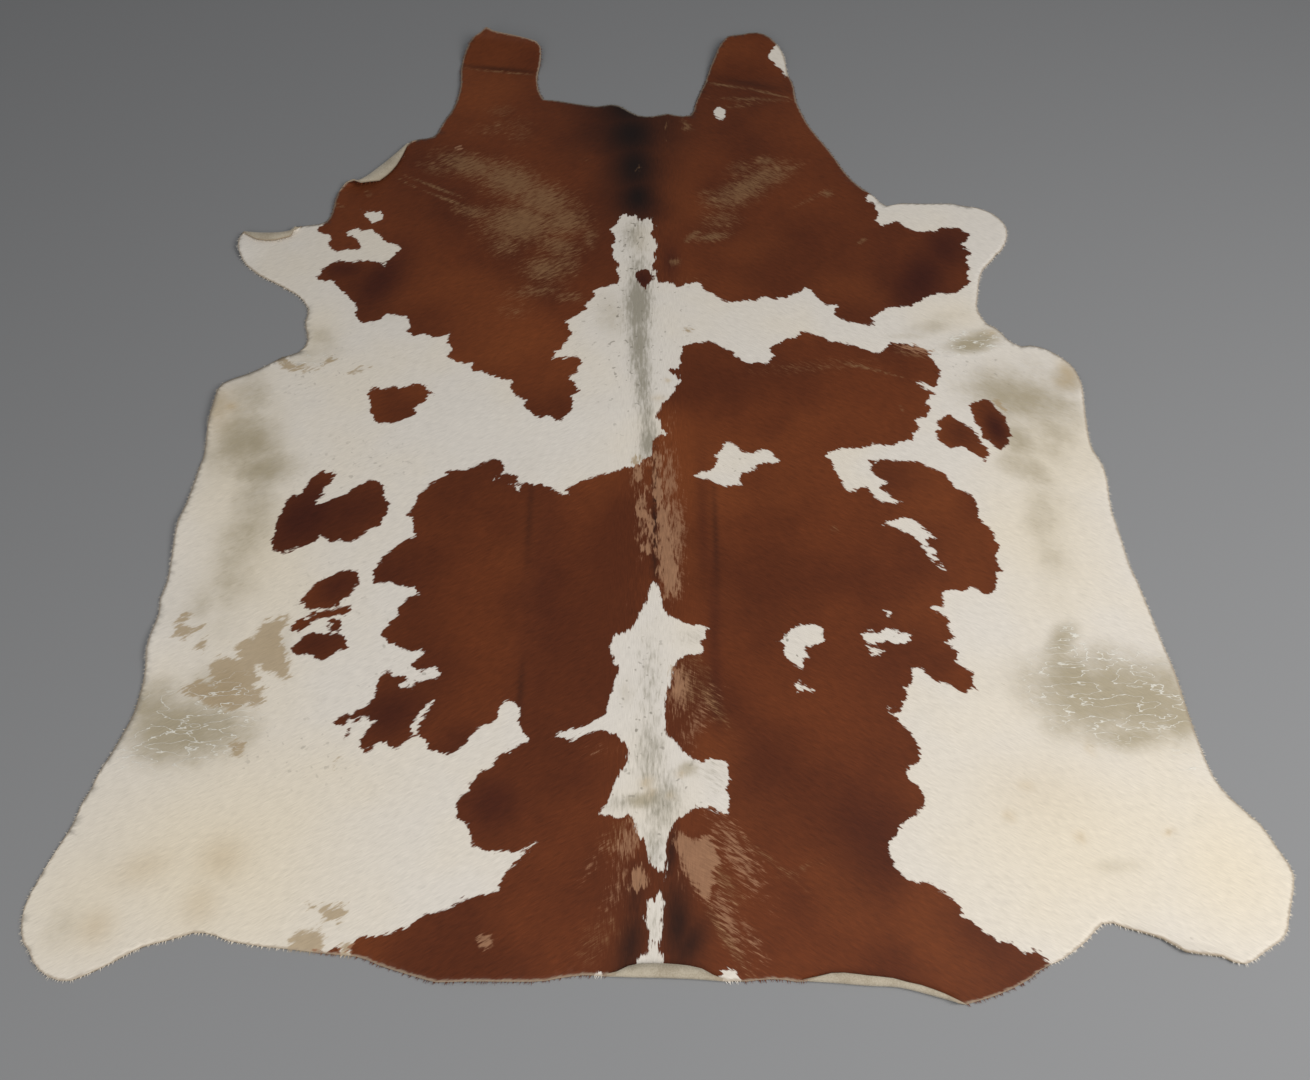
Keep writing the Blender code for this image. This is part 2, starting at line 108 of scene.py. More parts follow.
# Brown patches of the coat, clockwise or anticlockwise. Those at the rim run on past it.
BROWN_PATCHES = {
    "neck_and_shoulders": (
        (-760, 480), (-725, 470), (-725, 460), (-733, 455), (-737, 446), (-725, 434), (-707, 431),
        (-702, 419), (-712, 408), (-704, 402), (-693, 384), (-684, 383), (-674, 387), (-640, 387),
        (-635, 394), (-643, 412), (-657, 428), (-677, 435), (-662, 443), (-659, 452), (-652, 460),
        (-645, 451), (-640, 440), (-625, 446), (-618, 449), (-609, 439), (-599, 425), (-579, 408),
        (-563, 403), (-554, 397), (-550, 387), (-559, 376), (-561, 367), (-571, 358), (-581, 349),
        (-571, 333), (-584, 343), (-597, 352), (-622, 353), (-633, 357), (-641, 355), (-643, 348),
        (-661, 353), (-679, 355), (-697, 340), (-713, 329), (-708, 321), (-712, 311), (-721, 307),
        (-702, 293), (-690, 297), (-680, 293), (-674, 281), (-650, 261), (-638, 240), (-626, 230),
        (-618, 208), (-625, 201), (-617, 190), (-603, 177), (-586, 178), (-567, 188), (-558, 201),
        (-540, 200), (-524, 196), (-511, 185), (-511, 177), (-506, 167), (-514, 156), (-499, 143),
        (-477, 148), (-458, 137), (-441, 141), (-424, 150), (-429, 127), (-416, 104), (-424, 87),
        (-410, 76), (-392, 70), (-378, 71), (-366, 74), (-376, 57), (-368, 46), (-345, 44), (-325, 33),
        (-308, 25), (-293, 27), (-291, 22), (-296, 12), (-290, -1), (-281, -13), (-275, -22), (-259, -27),
        (-268, -40), (-257, -50), (-240, -66), (-231, -70), (-222, -63), (-213, -71), (-200, -77),
        (-189, -75), (-184, -64), (-176, -55), (-170, -47), (-174, -30), (-172, -15), (-158, -2),
        (-168, 10), (-166, 20), (-180, 26), (-178, 38), (-166, 48), (-164, 61), (-154, 74), (-164, 85),
        (-182, 87), (-195, 82), (-206, 86), (-219, 80), (-209, 96), (-213, 103), (-200, 106), (-197, 118),
        (-188, 124), (-184, 135), (-179, 148), (-186, 158), (-185, 172), (-195, 181), (-180, 190),
        (-169, 196), (-163, 207), (-153, 217), (-157, 226), (-143, 238), (-144, 245), (-134, 254),
        (-142, 270), (-128, 276), (-113, 277), (-103, 285), (-88, 287), (-84, 298), (-86, 312), (-92, 325),
        (-87, 343), (-95, 356), (-103, 371), (-99, 385), (-107, 398), (-95, 410), (-95, 425), (-103, 440),
        (-112, 447), (-100, 456), (-96, 466), (-88, 475), (-87, 488), (-77, 499), (-66, 488), (-57, 497),
        (-50, 482), (-43, 472), (-36, 479), (-25, 491), (-21, 476), (-13, 460), (-20, 440), (-12, 420),
        (-7, 390), (-16, 372), (-12, 357), (-20, 340), (-13, 327), (-10, 308), (-3, 291), (12, 292),
        (25, 285), (36, 277), (46, 282), (55, 288), (70, 292), (83, 289), (90, 275), (98, 263), (110, 256),
        (122, 245), (135, 236), (155, 233), (165, 239), (183, 241), (200, 240), (203, 246), (218, 248),
        (235, 245), (255, 245), (264, 254), (285, 259), (296, 278), (303, 275), (314, 273), (314, 260),
        (322, 245), (336, 229), (352, 225), (364, 229), (356, 212), (355, 200), (366, 188), (378, 180),
        (400, 176), (431, 171), (428, 192), (437, 199), (452, 209), (472, 220), (490, 224), (513, 223),
        (526, 233), (542, 245), (558, 256), (572, 259), (583, 256), (597, 259), (610, 263), (622, 272),
        (634, 281), (643, 293), (636, 299), (645, 311), (639, 321), (649, 328), (645, 338), (640, 348),
        (645, 356), (643, 366), (657, 376), (650, 386), (641, 392), (645, 402), (633, 405), (650, 411),
        (653, 420), (669, 434), (655, 438), (645, 441), (643, 452), (622, 453), (606, 455), (597, 449),
        (586, 440), (577, 446), (565, 443), (546, 443), (526, 453), (516, 466), (511, 474), (498, 470),
        (486, 465), (475, 457), (468, 469), (462, 475), (467, 487), (472, 501), (467, 515), (467, 527),
        (458, 534), (450, 527), (451, 543), (450, 553), (458, 557), (470, 562), (480, 640), (400, 1000),
        (340, 1180), (-540, 1200), (-620, 800), (-720, 760), (-780, 600)),
    "chest_island": (
        (-571, -7), (-562, 5), (-550, 9), (-544, 2), (-528, 7), (-518, 13), (-516, 6), (-498, 8),
        (-485, 17), (-470, 17), (-457, 9), (-464, -4), (-443, -6), (-453, -20), (-462, -32), (-476, -44),
        (-473, -61), (-490, -69), (-500, -76), (-517, -82), (-535, -84), (-546, -80), (-553, -64),
        (-563, -50), (-559, -36), (-569, -24), (-562, -15)),
    "flank_island": (
        (-632, -192), (-624, -199), (-604, -202), (-614, -222), (-625, -239), (-621, -250), (-641, -272),
        (-616, -268), (-600, -257), (-580, -247), (-560, -229), (-543, -216), (-530, -217), (-517, -225),
        (-511, -240), (-510, -257), (-496, -270), (-501, -284), (-504, -302), (-510, -321), (-526, -325),
        (-536, -338), (-550, -350), (-565, -357), (-580, -347), (-592, -358), (-605, -350), (-608, -334),
        (-625, -352), (-640, -365), (-655, -368), (-672, -378), (-694, -375), (-702, -355), (-697, -330),
        (-697, -302), (-691, -285), (-690, -266), (-680, -252), (-669, -251), (-660, -240), (-655, -224),
        (-645, -209)),
    "belly_island_top": (
        (-553, -414), (-573, -418), (-588, -428), (-606, -437), (-619, -455), (-630, -482), (-622, -485),
        (-619, -497), (-600, -494), (-575, -492), (-562, -482), (-548, -467), (-540, -453), (-525, -440),
        (-537, -428), (-541, -416)),
    "belly_island_middle": (
        (-644, -536), (-628, -516), (-612, -504), (-598, -500), (-574, -498), (-560, -489), (-543, -486),
        (-538, -497), (-546, -507), (-562, -502), (-568, -512), (-556, -518), (-552, -533), (-565, -542),
        (-562, -530), (-580, -534), (-566, -522), (-583, -521), (-570, -510), (-590, -512), (-604, -522),
        (-612, -533), (-622, -541)),
    "belly_island_low": (
        (-634, -572), (-618, -560), (-614, -550), (-600, -541), (-585, -540), (-570, -543), (-555, -544),
        (-543, -547), (-540, -560), (-537, -571), (-553, -577), (-562, -588), (-577, -597), (-592, -588),
        (-603, -583), (-622, -585), (-626, -577)),
    "barrel_and_rump": (
        (-380, -193), (-365, -195), (-356, -187), (-340, -180), (-325, -172), (-315, -167), (-307, -165),
        (-299, -172), (-295, -182), (-293, -198), (-301, -206), (-314, -216), (-298, -209), (-285, -203),
        (-272, -204), (-266, -212), (-265, -224), (-281, -230), (-268, -238), (-259, -245), (-262, -234),
        (-254, -225), (-240, -228), (-225, -227), (-210, -233), (-199, -238), (-193, -247), (-182, -252),
        (-171, -248), (-178, -240), (-165, -230), (-150, -222), (-135, -213), (-120, -206), (-100, -202),
        (-85, -198), (-72, -190), (-60, -187), (-45, -182), (-38, -172), (-20, -160), (-16, -138),
        (-18, -128), (-11, -116), (-3, -108), (8, -110), (20, -114), (10, -104), (-1, -96), (-3, -82),
        (-11, -64), (-5, -52), (3, -38), (10, -26), (20, -12), (27, -3), (27, 8), (36, 20), (39, 26),
        (30, 30), (35, 37), (22, 41), (14, 50), (24, 57), (31, 55), (34, 64), (41, 70), (34, 82), (41, 95),
        (43, 105), (42, 112), (55, 118), (66, 125), (80, 124), (95, 127), (110, 124), (122, 111),
        (140, 104), (147, 97), (147, 88), (158, 83), (160, 70), (175, 70), (190, 72), (206, 67), (216, 71),
        (219, 82), (229, 90), (218, 96), (217, 108), (226, 118), (240, 125), (251, 134), (265, 135),
        (275, 139), (280, 154), (292, 152), (314, 144), (326, 140), (333, 129), (340, 126), (352, 126),
        (366, 123), (381, 118), (396, 111), (412, 105), (426, 98), (436, 97), (449, 107), (451, 117),
        (462, 124), (475, 123), (495, 120), (512, 113), (528, 105), (545, 96), (531, 88), (535, 78),
        (545, 65), (548, 50), (551, 40), (545, 28), (540, 15), (533, 8), (515, 19), (505, 24), (497, 24),
        (508, 12), (522, 1), (530, -8), (537, -15), (525, -12), (518, -20), (511, -30), (519, -43),
        (516, -56), (508, -70), (485, -70), (488, -85), (493, -97), (484, -102), (477, -112), (476, -122),
        (460, -126), (448, -130), (440, -137), (420, -136), (397, -125), (395, -138), (375, -143),
        (360, -142), (350, -140), (340, -145), (325, -147), (315, -152), (310, -160), (318, -170),
        (320, -183), (326, -196), (330, -212), (335, -226), (341, -238), (352, -241), (363, -239),
        (369, -233), (382, -233), (386, -246), (395, -256), (403, -265), (420, -268), (437, -269),
        (443, -266), (429, -260), (417, -251), (410, -243), (404, -236), (410, -226), (421, -223),
        (410, -216), (399, -208), (392, -197), (389, -186), (396, -180), (387, -172), (400, -170),
        (420, -170), (440, -172), (460, -173), (480, -174), (490, -179), (496, -187), (510, -190),
        (521, -198), (529, -208), (535, -220), (545, -234), (560, -243), (572, -252), (577, -270),
        (580, -290), (576, -300), (588, -317), (597, -333), (603, -355), (603, -370), (597, -384),
        (598, -400), (603, -415), (594, -418), (590, -436), (583, -457), (575, -467), (563, -463),
        (555, -453), (540, -449), (526, -459), (510, -456), (497, -453), (490, -466), (491, -484),
        (480, -489), (470, -484), (466, -493), (480, -500), (490, -507), (497, -516), (491, -526),
        (497, -540), (500, -551), (481, -557), (493, -567), (502, -580), (497, -592), (505, -606),
        (520, -617), (526, -624), (520, -636), (526, -652), (510, -650), (505, -656), (490, -650),
        (478, -640), (470, -635), (458, -634), (450, -625), (440, -615), (430, -607), (423, -609),
        (419, -620), (420, -636), (404, -645), (409, -660), (400, -672), (398, -688), (383, -689),
        (371, -682), (378, -695), (388, -705), (392, -717), (405, -724), (410, -736), (417, -755),
        (417, -770), (412, -781), (399, -784), (393, -795), (398, -810), (410, -826), (417, -840),
        (413, -856), (400, -866), (385, -877), (372, -885), (370, -898), (357, -908), (349, -921),
        (352, -936), (360, -953), (372, -969), (387, -981), (392, -977), (404, -977), (416, -985),
        (430, -991), (441, -1000), (445, -1012), (451, -1031), (463, -1034), (471, -1043), (482, -1055),
        (498, -1066), (515, -1064), (524, -1075), (536, -1082), (555, -1080), (564, -1088), (570, -1099),
        (600, -1220), (-520, -1220), (-461, -1088), (-466, -1078), (-457, -1062), (-445, -1058),
        (-427, -1060), (-412, -1054), (-400, -1048), (-382, -1045), (-367, -1037), (-355, -1025),
        (-340, -1020), (-322, -1017), (-313, -1010), (-299, -1000), (-280, -998), (-262, -995),
        (-250, -985), (-243, -967), (-232, -950), (-220, -937), (-205, -925), (-194, -911), (-208, -917),
        (-222, -927), (-235, -932), (-247, -925), (-260, -930), (-271, -928), (-279, -922), (-296, -920),
        (-298, -907), (-304, -896), (-305, -884), (-316, -880), (-325, -872), (-323, -862), (-330, -850),
        (-320, -838), (-305, -827), (-309, -814), (-300, -805), (-290, -795), (-276, -788), (-269, -775),
        (-250, -762), (-235, -752), (-222, -744), (-211, -741), (-224, -735), (-232, -720), (-237, -702),
        (-232, -688), (-240, -680), (-247, -672), (-256, -669), (-263, -675), (-270, -687), (-272, -702),
        (-281, -713), (-296, -713), (-305, -720), (-313, -735), (-322, -750), (-335, -762), (-348, -769),
        (-362, -762), (-378, -758), (-381, -746), (-391, -737), (-400, -730), (-393, -700), (-380, -668),
        (-402, -692), (-414, -716), (-406, -735), (-417, -745), (-426, -756), (-440, -757), (-448, -745),
        (-460, -749), (-471, -757), (-484, -763), (-492, -750), (-490, -734), (-480, -716), (-470, -708),
        (-482, -700), (-495, -698), (-505, -712), (-513, -738), (-520, -741), (-515, -722), (-508, -705),
        (-517, -702), (-520, -714), (-539, -713), (-533, -699), (-522, -694), (-512, -695), (-507, -690),
        (-492, -681), (-480, -668), (-477, -650), (-475, -628), (-468, -617), (-456, -613), (-452, -624),
        (-436, -621), (-426, -632), (-440, -640), (-437, -648), (-420, -646), (-410, -636), (-395, -630),
        (-379, -633), (-374, -622), (-376, -611), (-394, -610), (-402, -617), (-415, -613), (-426, -601),
        (-414, -594), (-408, -586), (-405, -576), (-422, -575), (-440, -577), (-452, -569), (-464, -562),
        (-473, -550), (-484, -540), (-472, -528), (-466, -516), (-457, -503), (-458, -492), (-448, -479),
        (-441, -470), (-418, -466), (-431, -458), (-430, -449), (-445, -447), (-467, -446), (-474, -438),
        (-495, -440), (-504, -442), (-508, -429), (-513, -417), (-506, -405), (-500, -395), (-499, -385),
        (-489, -375), (-475, -367), (-466, -358), (-455, -346), (-442, -341), (-448, -335), (-445, -323),
        (-450, -314), (-454, -300), (-462, -303), (-465, -293), (-458, -279), (-445, -270), (-451, -261),
        (-448, -250), (-435, -238), (-425, -225), (-413, -214), (-401, -204), (-397, -194)),
    "elbow_spot_left": (
        (558, -63), (560, -70), (575, -80), (590, -95), (601, -112), (606, -126), (615, -140), (616, -157),
        (608, -172), (599, -166), (590, -155), (580, -150), (574, -138), (563, -137), (554, -143),
        (544, -142), (535, -135), (525, -123), (519, -112), (526, -107), (520, -100), (535, -97),
        (530, -87), (525, -80), (537, -72), (547, -62)),
    "elbow_spot_right": (
        (622, -25), (632, -21), (640, -32), (646, -43), (656, -57), (661, -72), (665, -95), (664, -112),
        (657, -130), (652, -140), (640, -146), (630, -138), (622, -125), (611, -116), (612, -101),
        (604, -88), (600, -70), (597, -52), (595, -42), (598, -32), (615, -32)),
    "withers_spot": (
        (-54, 310), (-50, 325), (-38, 328), (-22, 327), (-20, 315), (-20, 300), (-26, 284), (-34, 273),
        (-42, 280), (-49, 293)),
    "rump_bits": (
        (-519, -1080), (-505, -1078), (-500, -1086), (-495, -1079), (-480, -1073), (-478, -1082),
        (-480, -1100), (-520, -1100)),
}

# White patches that lie on the brown.
WHITE_PATCHES = {
    "shoulder_island": (
        (-650, 503), (-640, 497), (-631, 481), (-625, 474), (-616, 465), (-609, 473), (-599, 479),
        (-597, 487), (-602, 497), (-609, 505), (-622, 499), (-633, 506)),
    "tab_spot": (
        (300, 1100), (284, 1079), (281, 1068), (273, 1064), (271, 1051), (260, 1040), (258, 1028),
        (262, 1017), (271, 1012), (275, 1001), (285, 991), (292, 980), (297, 966), (340, 975),
        (340, 1060)),
    "neck_ring": (
        (126, 844), (137, 855), (150, 844), (151, 828), (141, 805), (132, 814), (123, 828)),
    "back_island": (
        (60, -208), (75, -200), (92, -194), (103, -184), (105, -172), (99, -163), (110, -150), (118, -138),
        (120, -130), (133, -127), (142, -137), (152, -149), (165, -157), (180, -150), (200, -147),
        (208, -150), (210, -163), (221, -172), (205, -177), (190, -178), (175, -182), (166, -188),
        (175, -194), (162, -195), (150, -199), (146, -212), (145, -222), (149, -232), (130, -230),
        (112, -229), (98, -223), (85, -216), (70, -212)),
    "side_streak": (
        (403, -310), (420, -308), (436, -300), (449, -301), (461, -309), (470, -320), (480, -335),
        (493, -344), (479, -345), (477, -355), (484, -364), (495, -374), (486, -382), (492, -394),
        (500, -405), (506, -417), (494, -408), (484, -397), (477, -385), (470, -370), (465, -356),
        (455, -342), (440, -335), (430, -323), (416, -319), (403, -318)),
    "barrel_spot": (
        (196, -561), (208, -558), (207, -548), (219, -536), (235, -528), (255, -522), (270, -529),
        (278, -530), (275, -545), (277, -556), (265, -563), (251, -567), (243, -575), (249, -586),
        (240, -595), (238, -612), (230, -609), (222, -600), (211, -588), (207, -577), (211, -567)),
    "side_spot": (
        (340, -543), (355, -539), (370, -543), (380, -541), (382, -531), (400, -533), (405, -544),
        (420, -541), (433, -537), (424, -549), (422, -557), (411, -562), (397, -562), (385, -555),
        (371, -560), (355, -562), (345, -555)),
    "side_spot_low": ((348, -566), (360, -572), (377, -578), (372, -584), (355, -584)),
    "side_tick": ((385, -497), (395, -498), (400, -504), (392, -506)),
    "barrel_spot_low": (
        (222, -640), (230, -635), (240, -645), (254, -652), (245, -658), (236, -652), (224, -654)),
    "spine_blaze": (
        (-15, -438), (-22, -455), (-28, -480), (-35, -497), (-43, -501), (-41, -511), (-48, -525),
        (-58, -540), (-75, -544), (-86, -551), (-89, -563), (-87, -578), (-80, -590), (-83, -598),
        (-71, -606), (-75, -621), (-80, -635), (-83, -655), (-88, -670), (-90, -686), (-98, -700),
        (-112, -708), (-130, -715), (-150, -723), (-168, -724), (-179, -733), (-162, -736), (-148, -743),
        (-135, -735), (-115, -728), (-98, -723), (-88, -727), (-75, -732), (-66, -743), (-54, -752),
        (-57, -770), (-63, -790), (-72, -808), (-80, -830), (-87, -846), (-96, -860), (-106, -869),
        (-85, -868), (-66, -873), (-54, -865), (-45, -880), (-40, -898), (-28, -912), (-25, -930),
        (-18, -948), (-8, -958), (-1, -975), (4, -955), (5, -930), (9, -902), (16, -882), (27, -872),
        (40, -866), (52, -855), (65, -857), (76, -855), (86, -863), (98, -870), (103, -858), (105, -840),
        (103, -822), (111, -806), (105, -792), (104, -780), (95, -777), (80, -775), (70, -776), (62, -784),
        (54, -775), (44, -768), (34, -765), (28, -757), (24, -747), (14, -738), (5, -725), (3, -700),
        (7, -670), (12, -640), (18, -612), (28, -592), (42, -583), (55, -582), (66, -583), (71, -571),
        (65, -558), (74, -550), (71, -541), (79, -535), (68, -527), (55, -525), (41, -523), (30, -518),
        (21, -511), (10, -506), (4, -495), (1, -478), (-4, -457), (-9, -444)),
    "spine_low": (
        (-6, -992), (0, -1000), (3, -1012), (-1, -1022), (1, -1042), (-4, -1060), (-5, -1078), (0, -1094),
        (0, -1140), (-45, -1140), (-38, -1095), (-25, -1085), (-20, -1068), (-23, -1046), (-29, -1034),
        (-22, -1018), (-22, -1004), (-16, -1003), (-14, -1015), (-8, -1012)),
    "tail_root_left": ((-101, -1112), (-88, -1109), (-86, -1130), (-104, -1130)),
    "tail_root_right": (
        (78, -1108), (92, -1106), (104, -1112), (112, -1122), (108, -1134), (88, -1134)),
}

# Bare or stained places with a clear edge.
TAN_PATCHES = {
    "flank_mark": (
        (-843, -526), (-836, -507), (-825, -500), (-815, -507), (-820, -525), (-808, -532), (-797, -524),
        (-788, -524), (-790, -535), (-803, -541), (-813, -557), (-830, -549)),
    "flank_dot": ((-797, -565), (-785, -557), (-776, -566), (-782, -579), (-793, -576)),
    "flank_field": (
        (-800, -655), (-778, -628), (-748, -640), (-770, -607), (-748, -590), (-715, -590), (-735, -566),
        (-700, -553), (-688, -520), (-668, -511), (-640, -505), (-655, -535), (-648, -558), (-634, -580),
        (-627, -600), (-624, -624), (-631, -636), (-645, -626), (-662, -618), (-676, -611), (-684, -602),
        (-680, -620), (-672, -634), (-690, -642), (-670, -644), (-661, -656), (-661, -672), (-672, -684),
        (-690, -676), (-710, -690), (-745, -680)),
    "flank_blob": ((-703, -748), (-694, -740), (-682, -742), (-679, -756), (-688, -768), (-699, -765)),
    "hind_tick": ((-531, -768), (-524, -765), (-524, -780), (-530, -790), (-533, -780)),
    "rump_blob": (
        (-558, -1110), (-557, -1066), (-550, -1051), (-533, -1051), (-517, -1049), (-507, -1052),
        (-502, -1066), (-508, -1110)),
    "rump_blob_high": (
        (-536, -1011), (-523, -1016), (-513, -1012), (-497, -1014), (-478, -1010), (-474, -1018),
        (-480, -1028), (-500, -1035), (-515, -1030), (-523, -1019), (-535, -1017)),
    "rump_dot": ((-490, -1034), (-485, -1034), (-484, -1041), (-490, -1041)),
    "rump_edge": ((-477, -1110), (-478, -1068), (-466, -1064), (-461, -1080), (-461, -1110)),
    "neck_blob": ((-461, 714), (-455, 716), (-449, 712), (-450, 707), (-459, 707)),
    "rump_spot": ((-278, -1058), (-268, -1055), (-254, -1063), (-255, -1071), (-267, -1076)),
    "tan_comb_left": (
        (-55, -160), (-44, -158), (-36, -168), (-37, -190), (-36, -212), (-34, -240), (-30, -262),
        (-19, -300), (-18, -345), (-22, -378), (-40, -370), (-28, -350), (-34, -310), (-46, -296),
        (-42, -262), (-37, -246), (-42, -222), (-50, -206), (-46, -186), (-56, -178)),
    "tan_comb_right": (
        (-22, -160), (-8, -150), (4, -172), (-2, -185), (-5, -200), (0, -222), (3, -245), (6, -270),
        (14, -290), (17, -330), (22, -350), (21, -372), (28, -398), (32, -430), (24, -447), (30, -452),
        (22, -462), (8, -468), (2, -455), (-4, -430), (-3, -400), (-8, -360), (-9, -310), (-8, -280),
        (-18, -240), (-16, -210), (-12, -190)),
    "rump_bare_right": (
        (20, -893), (32, -900), (45, -908), (58, -908), (70, -905), (84, -924), (92, -944), (80, -954),
        (76, -975), (72, -1002), (62, -1006), (54, -990), (42, -978), (34, -962), (25, -944), (23, -918)),
    "rump_bare_left": ((-36, -943), (-29, -960), (-25, -984), (-42, -990), (-52, -984), (-46, -962)),
    "spine_roan_right": (
        (16, -612), (30, -608), (38, -640), (34, -668), (22, -650), (14, -632)),
    "shoulder_tan": (
        (476, 112), (492, 117), (507, 112), (522, 108), (531, 104), (543, 97), (528, 93), (514, 99),
        (500, 106), (486, 104)),
    "armpit_mark": (
        (-765, 85), (-752, 60), (-730, 48), (-705, 46), (-680, 52), (-662, 62), (-648, 82), (-655, 84),
        (-668, 70), (-690, 62), (-712, 62), (-735, 74), (-748, 92)),
    "elbow_edge": ((640, -18), (651, -19), (658, -35), (667, -55), (660, -55), (650, -40)),
    "withers_smudge": ((38, 162), (46, 152), (58, 151), (66, 160), (60, 165), (52, 156), (44, 165)),
    "chest_smudge": ((-614, 40), (-600, 52), (-566, 68), (-590, 50), (-606, 42)),
}

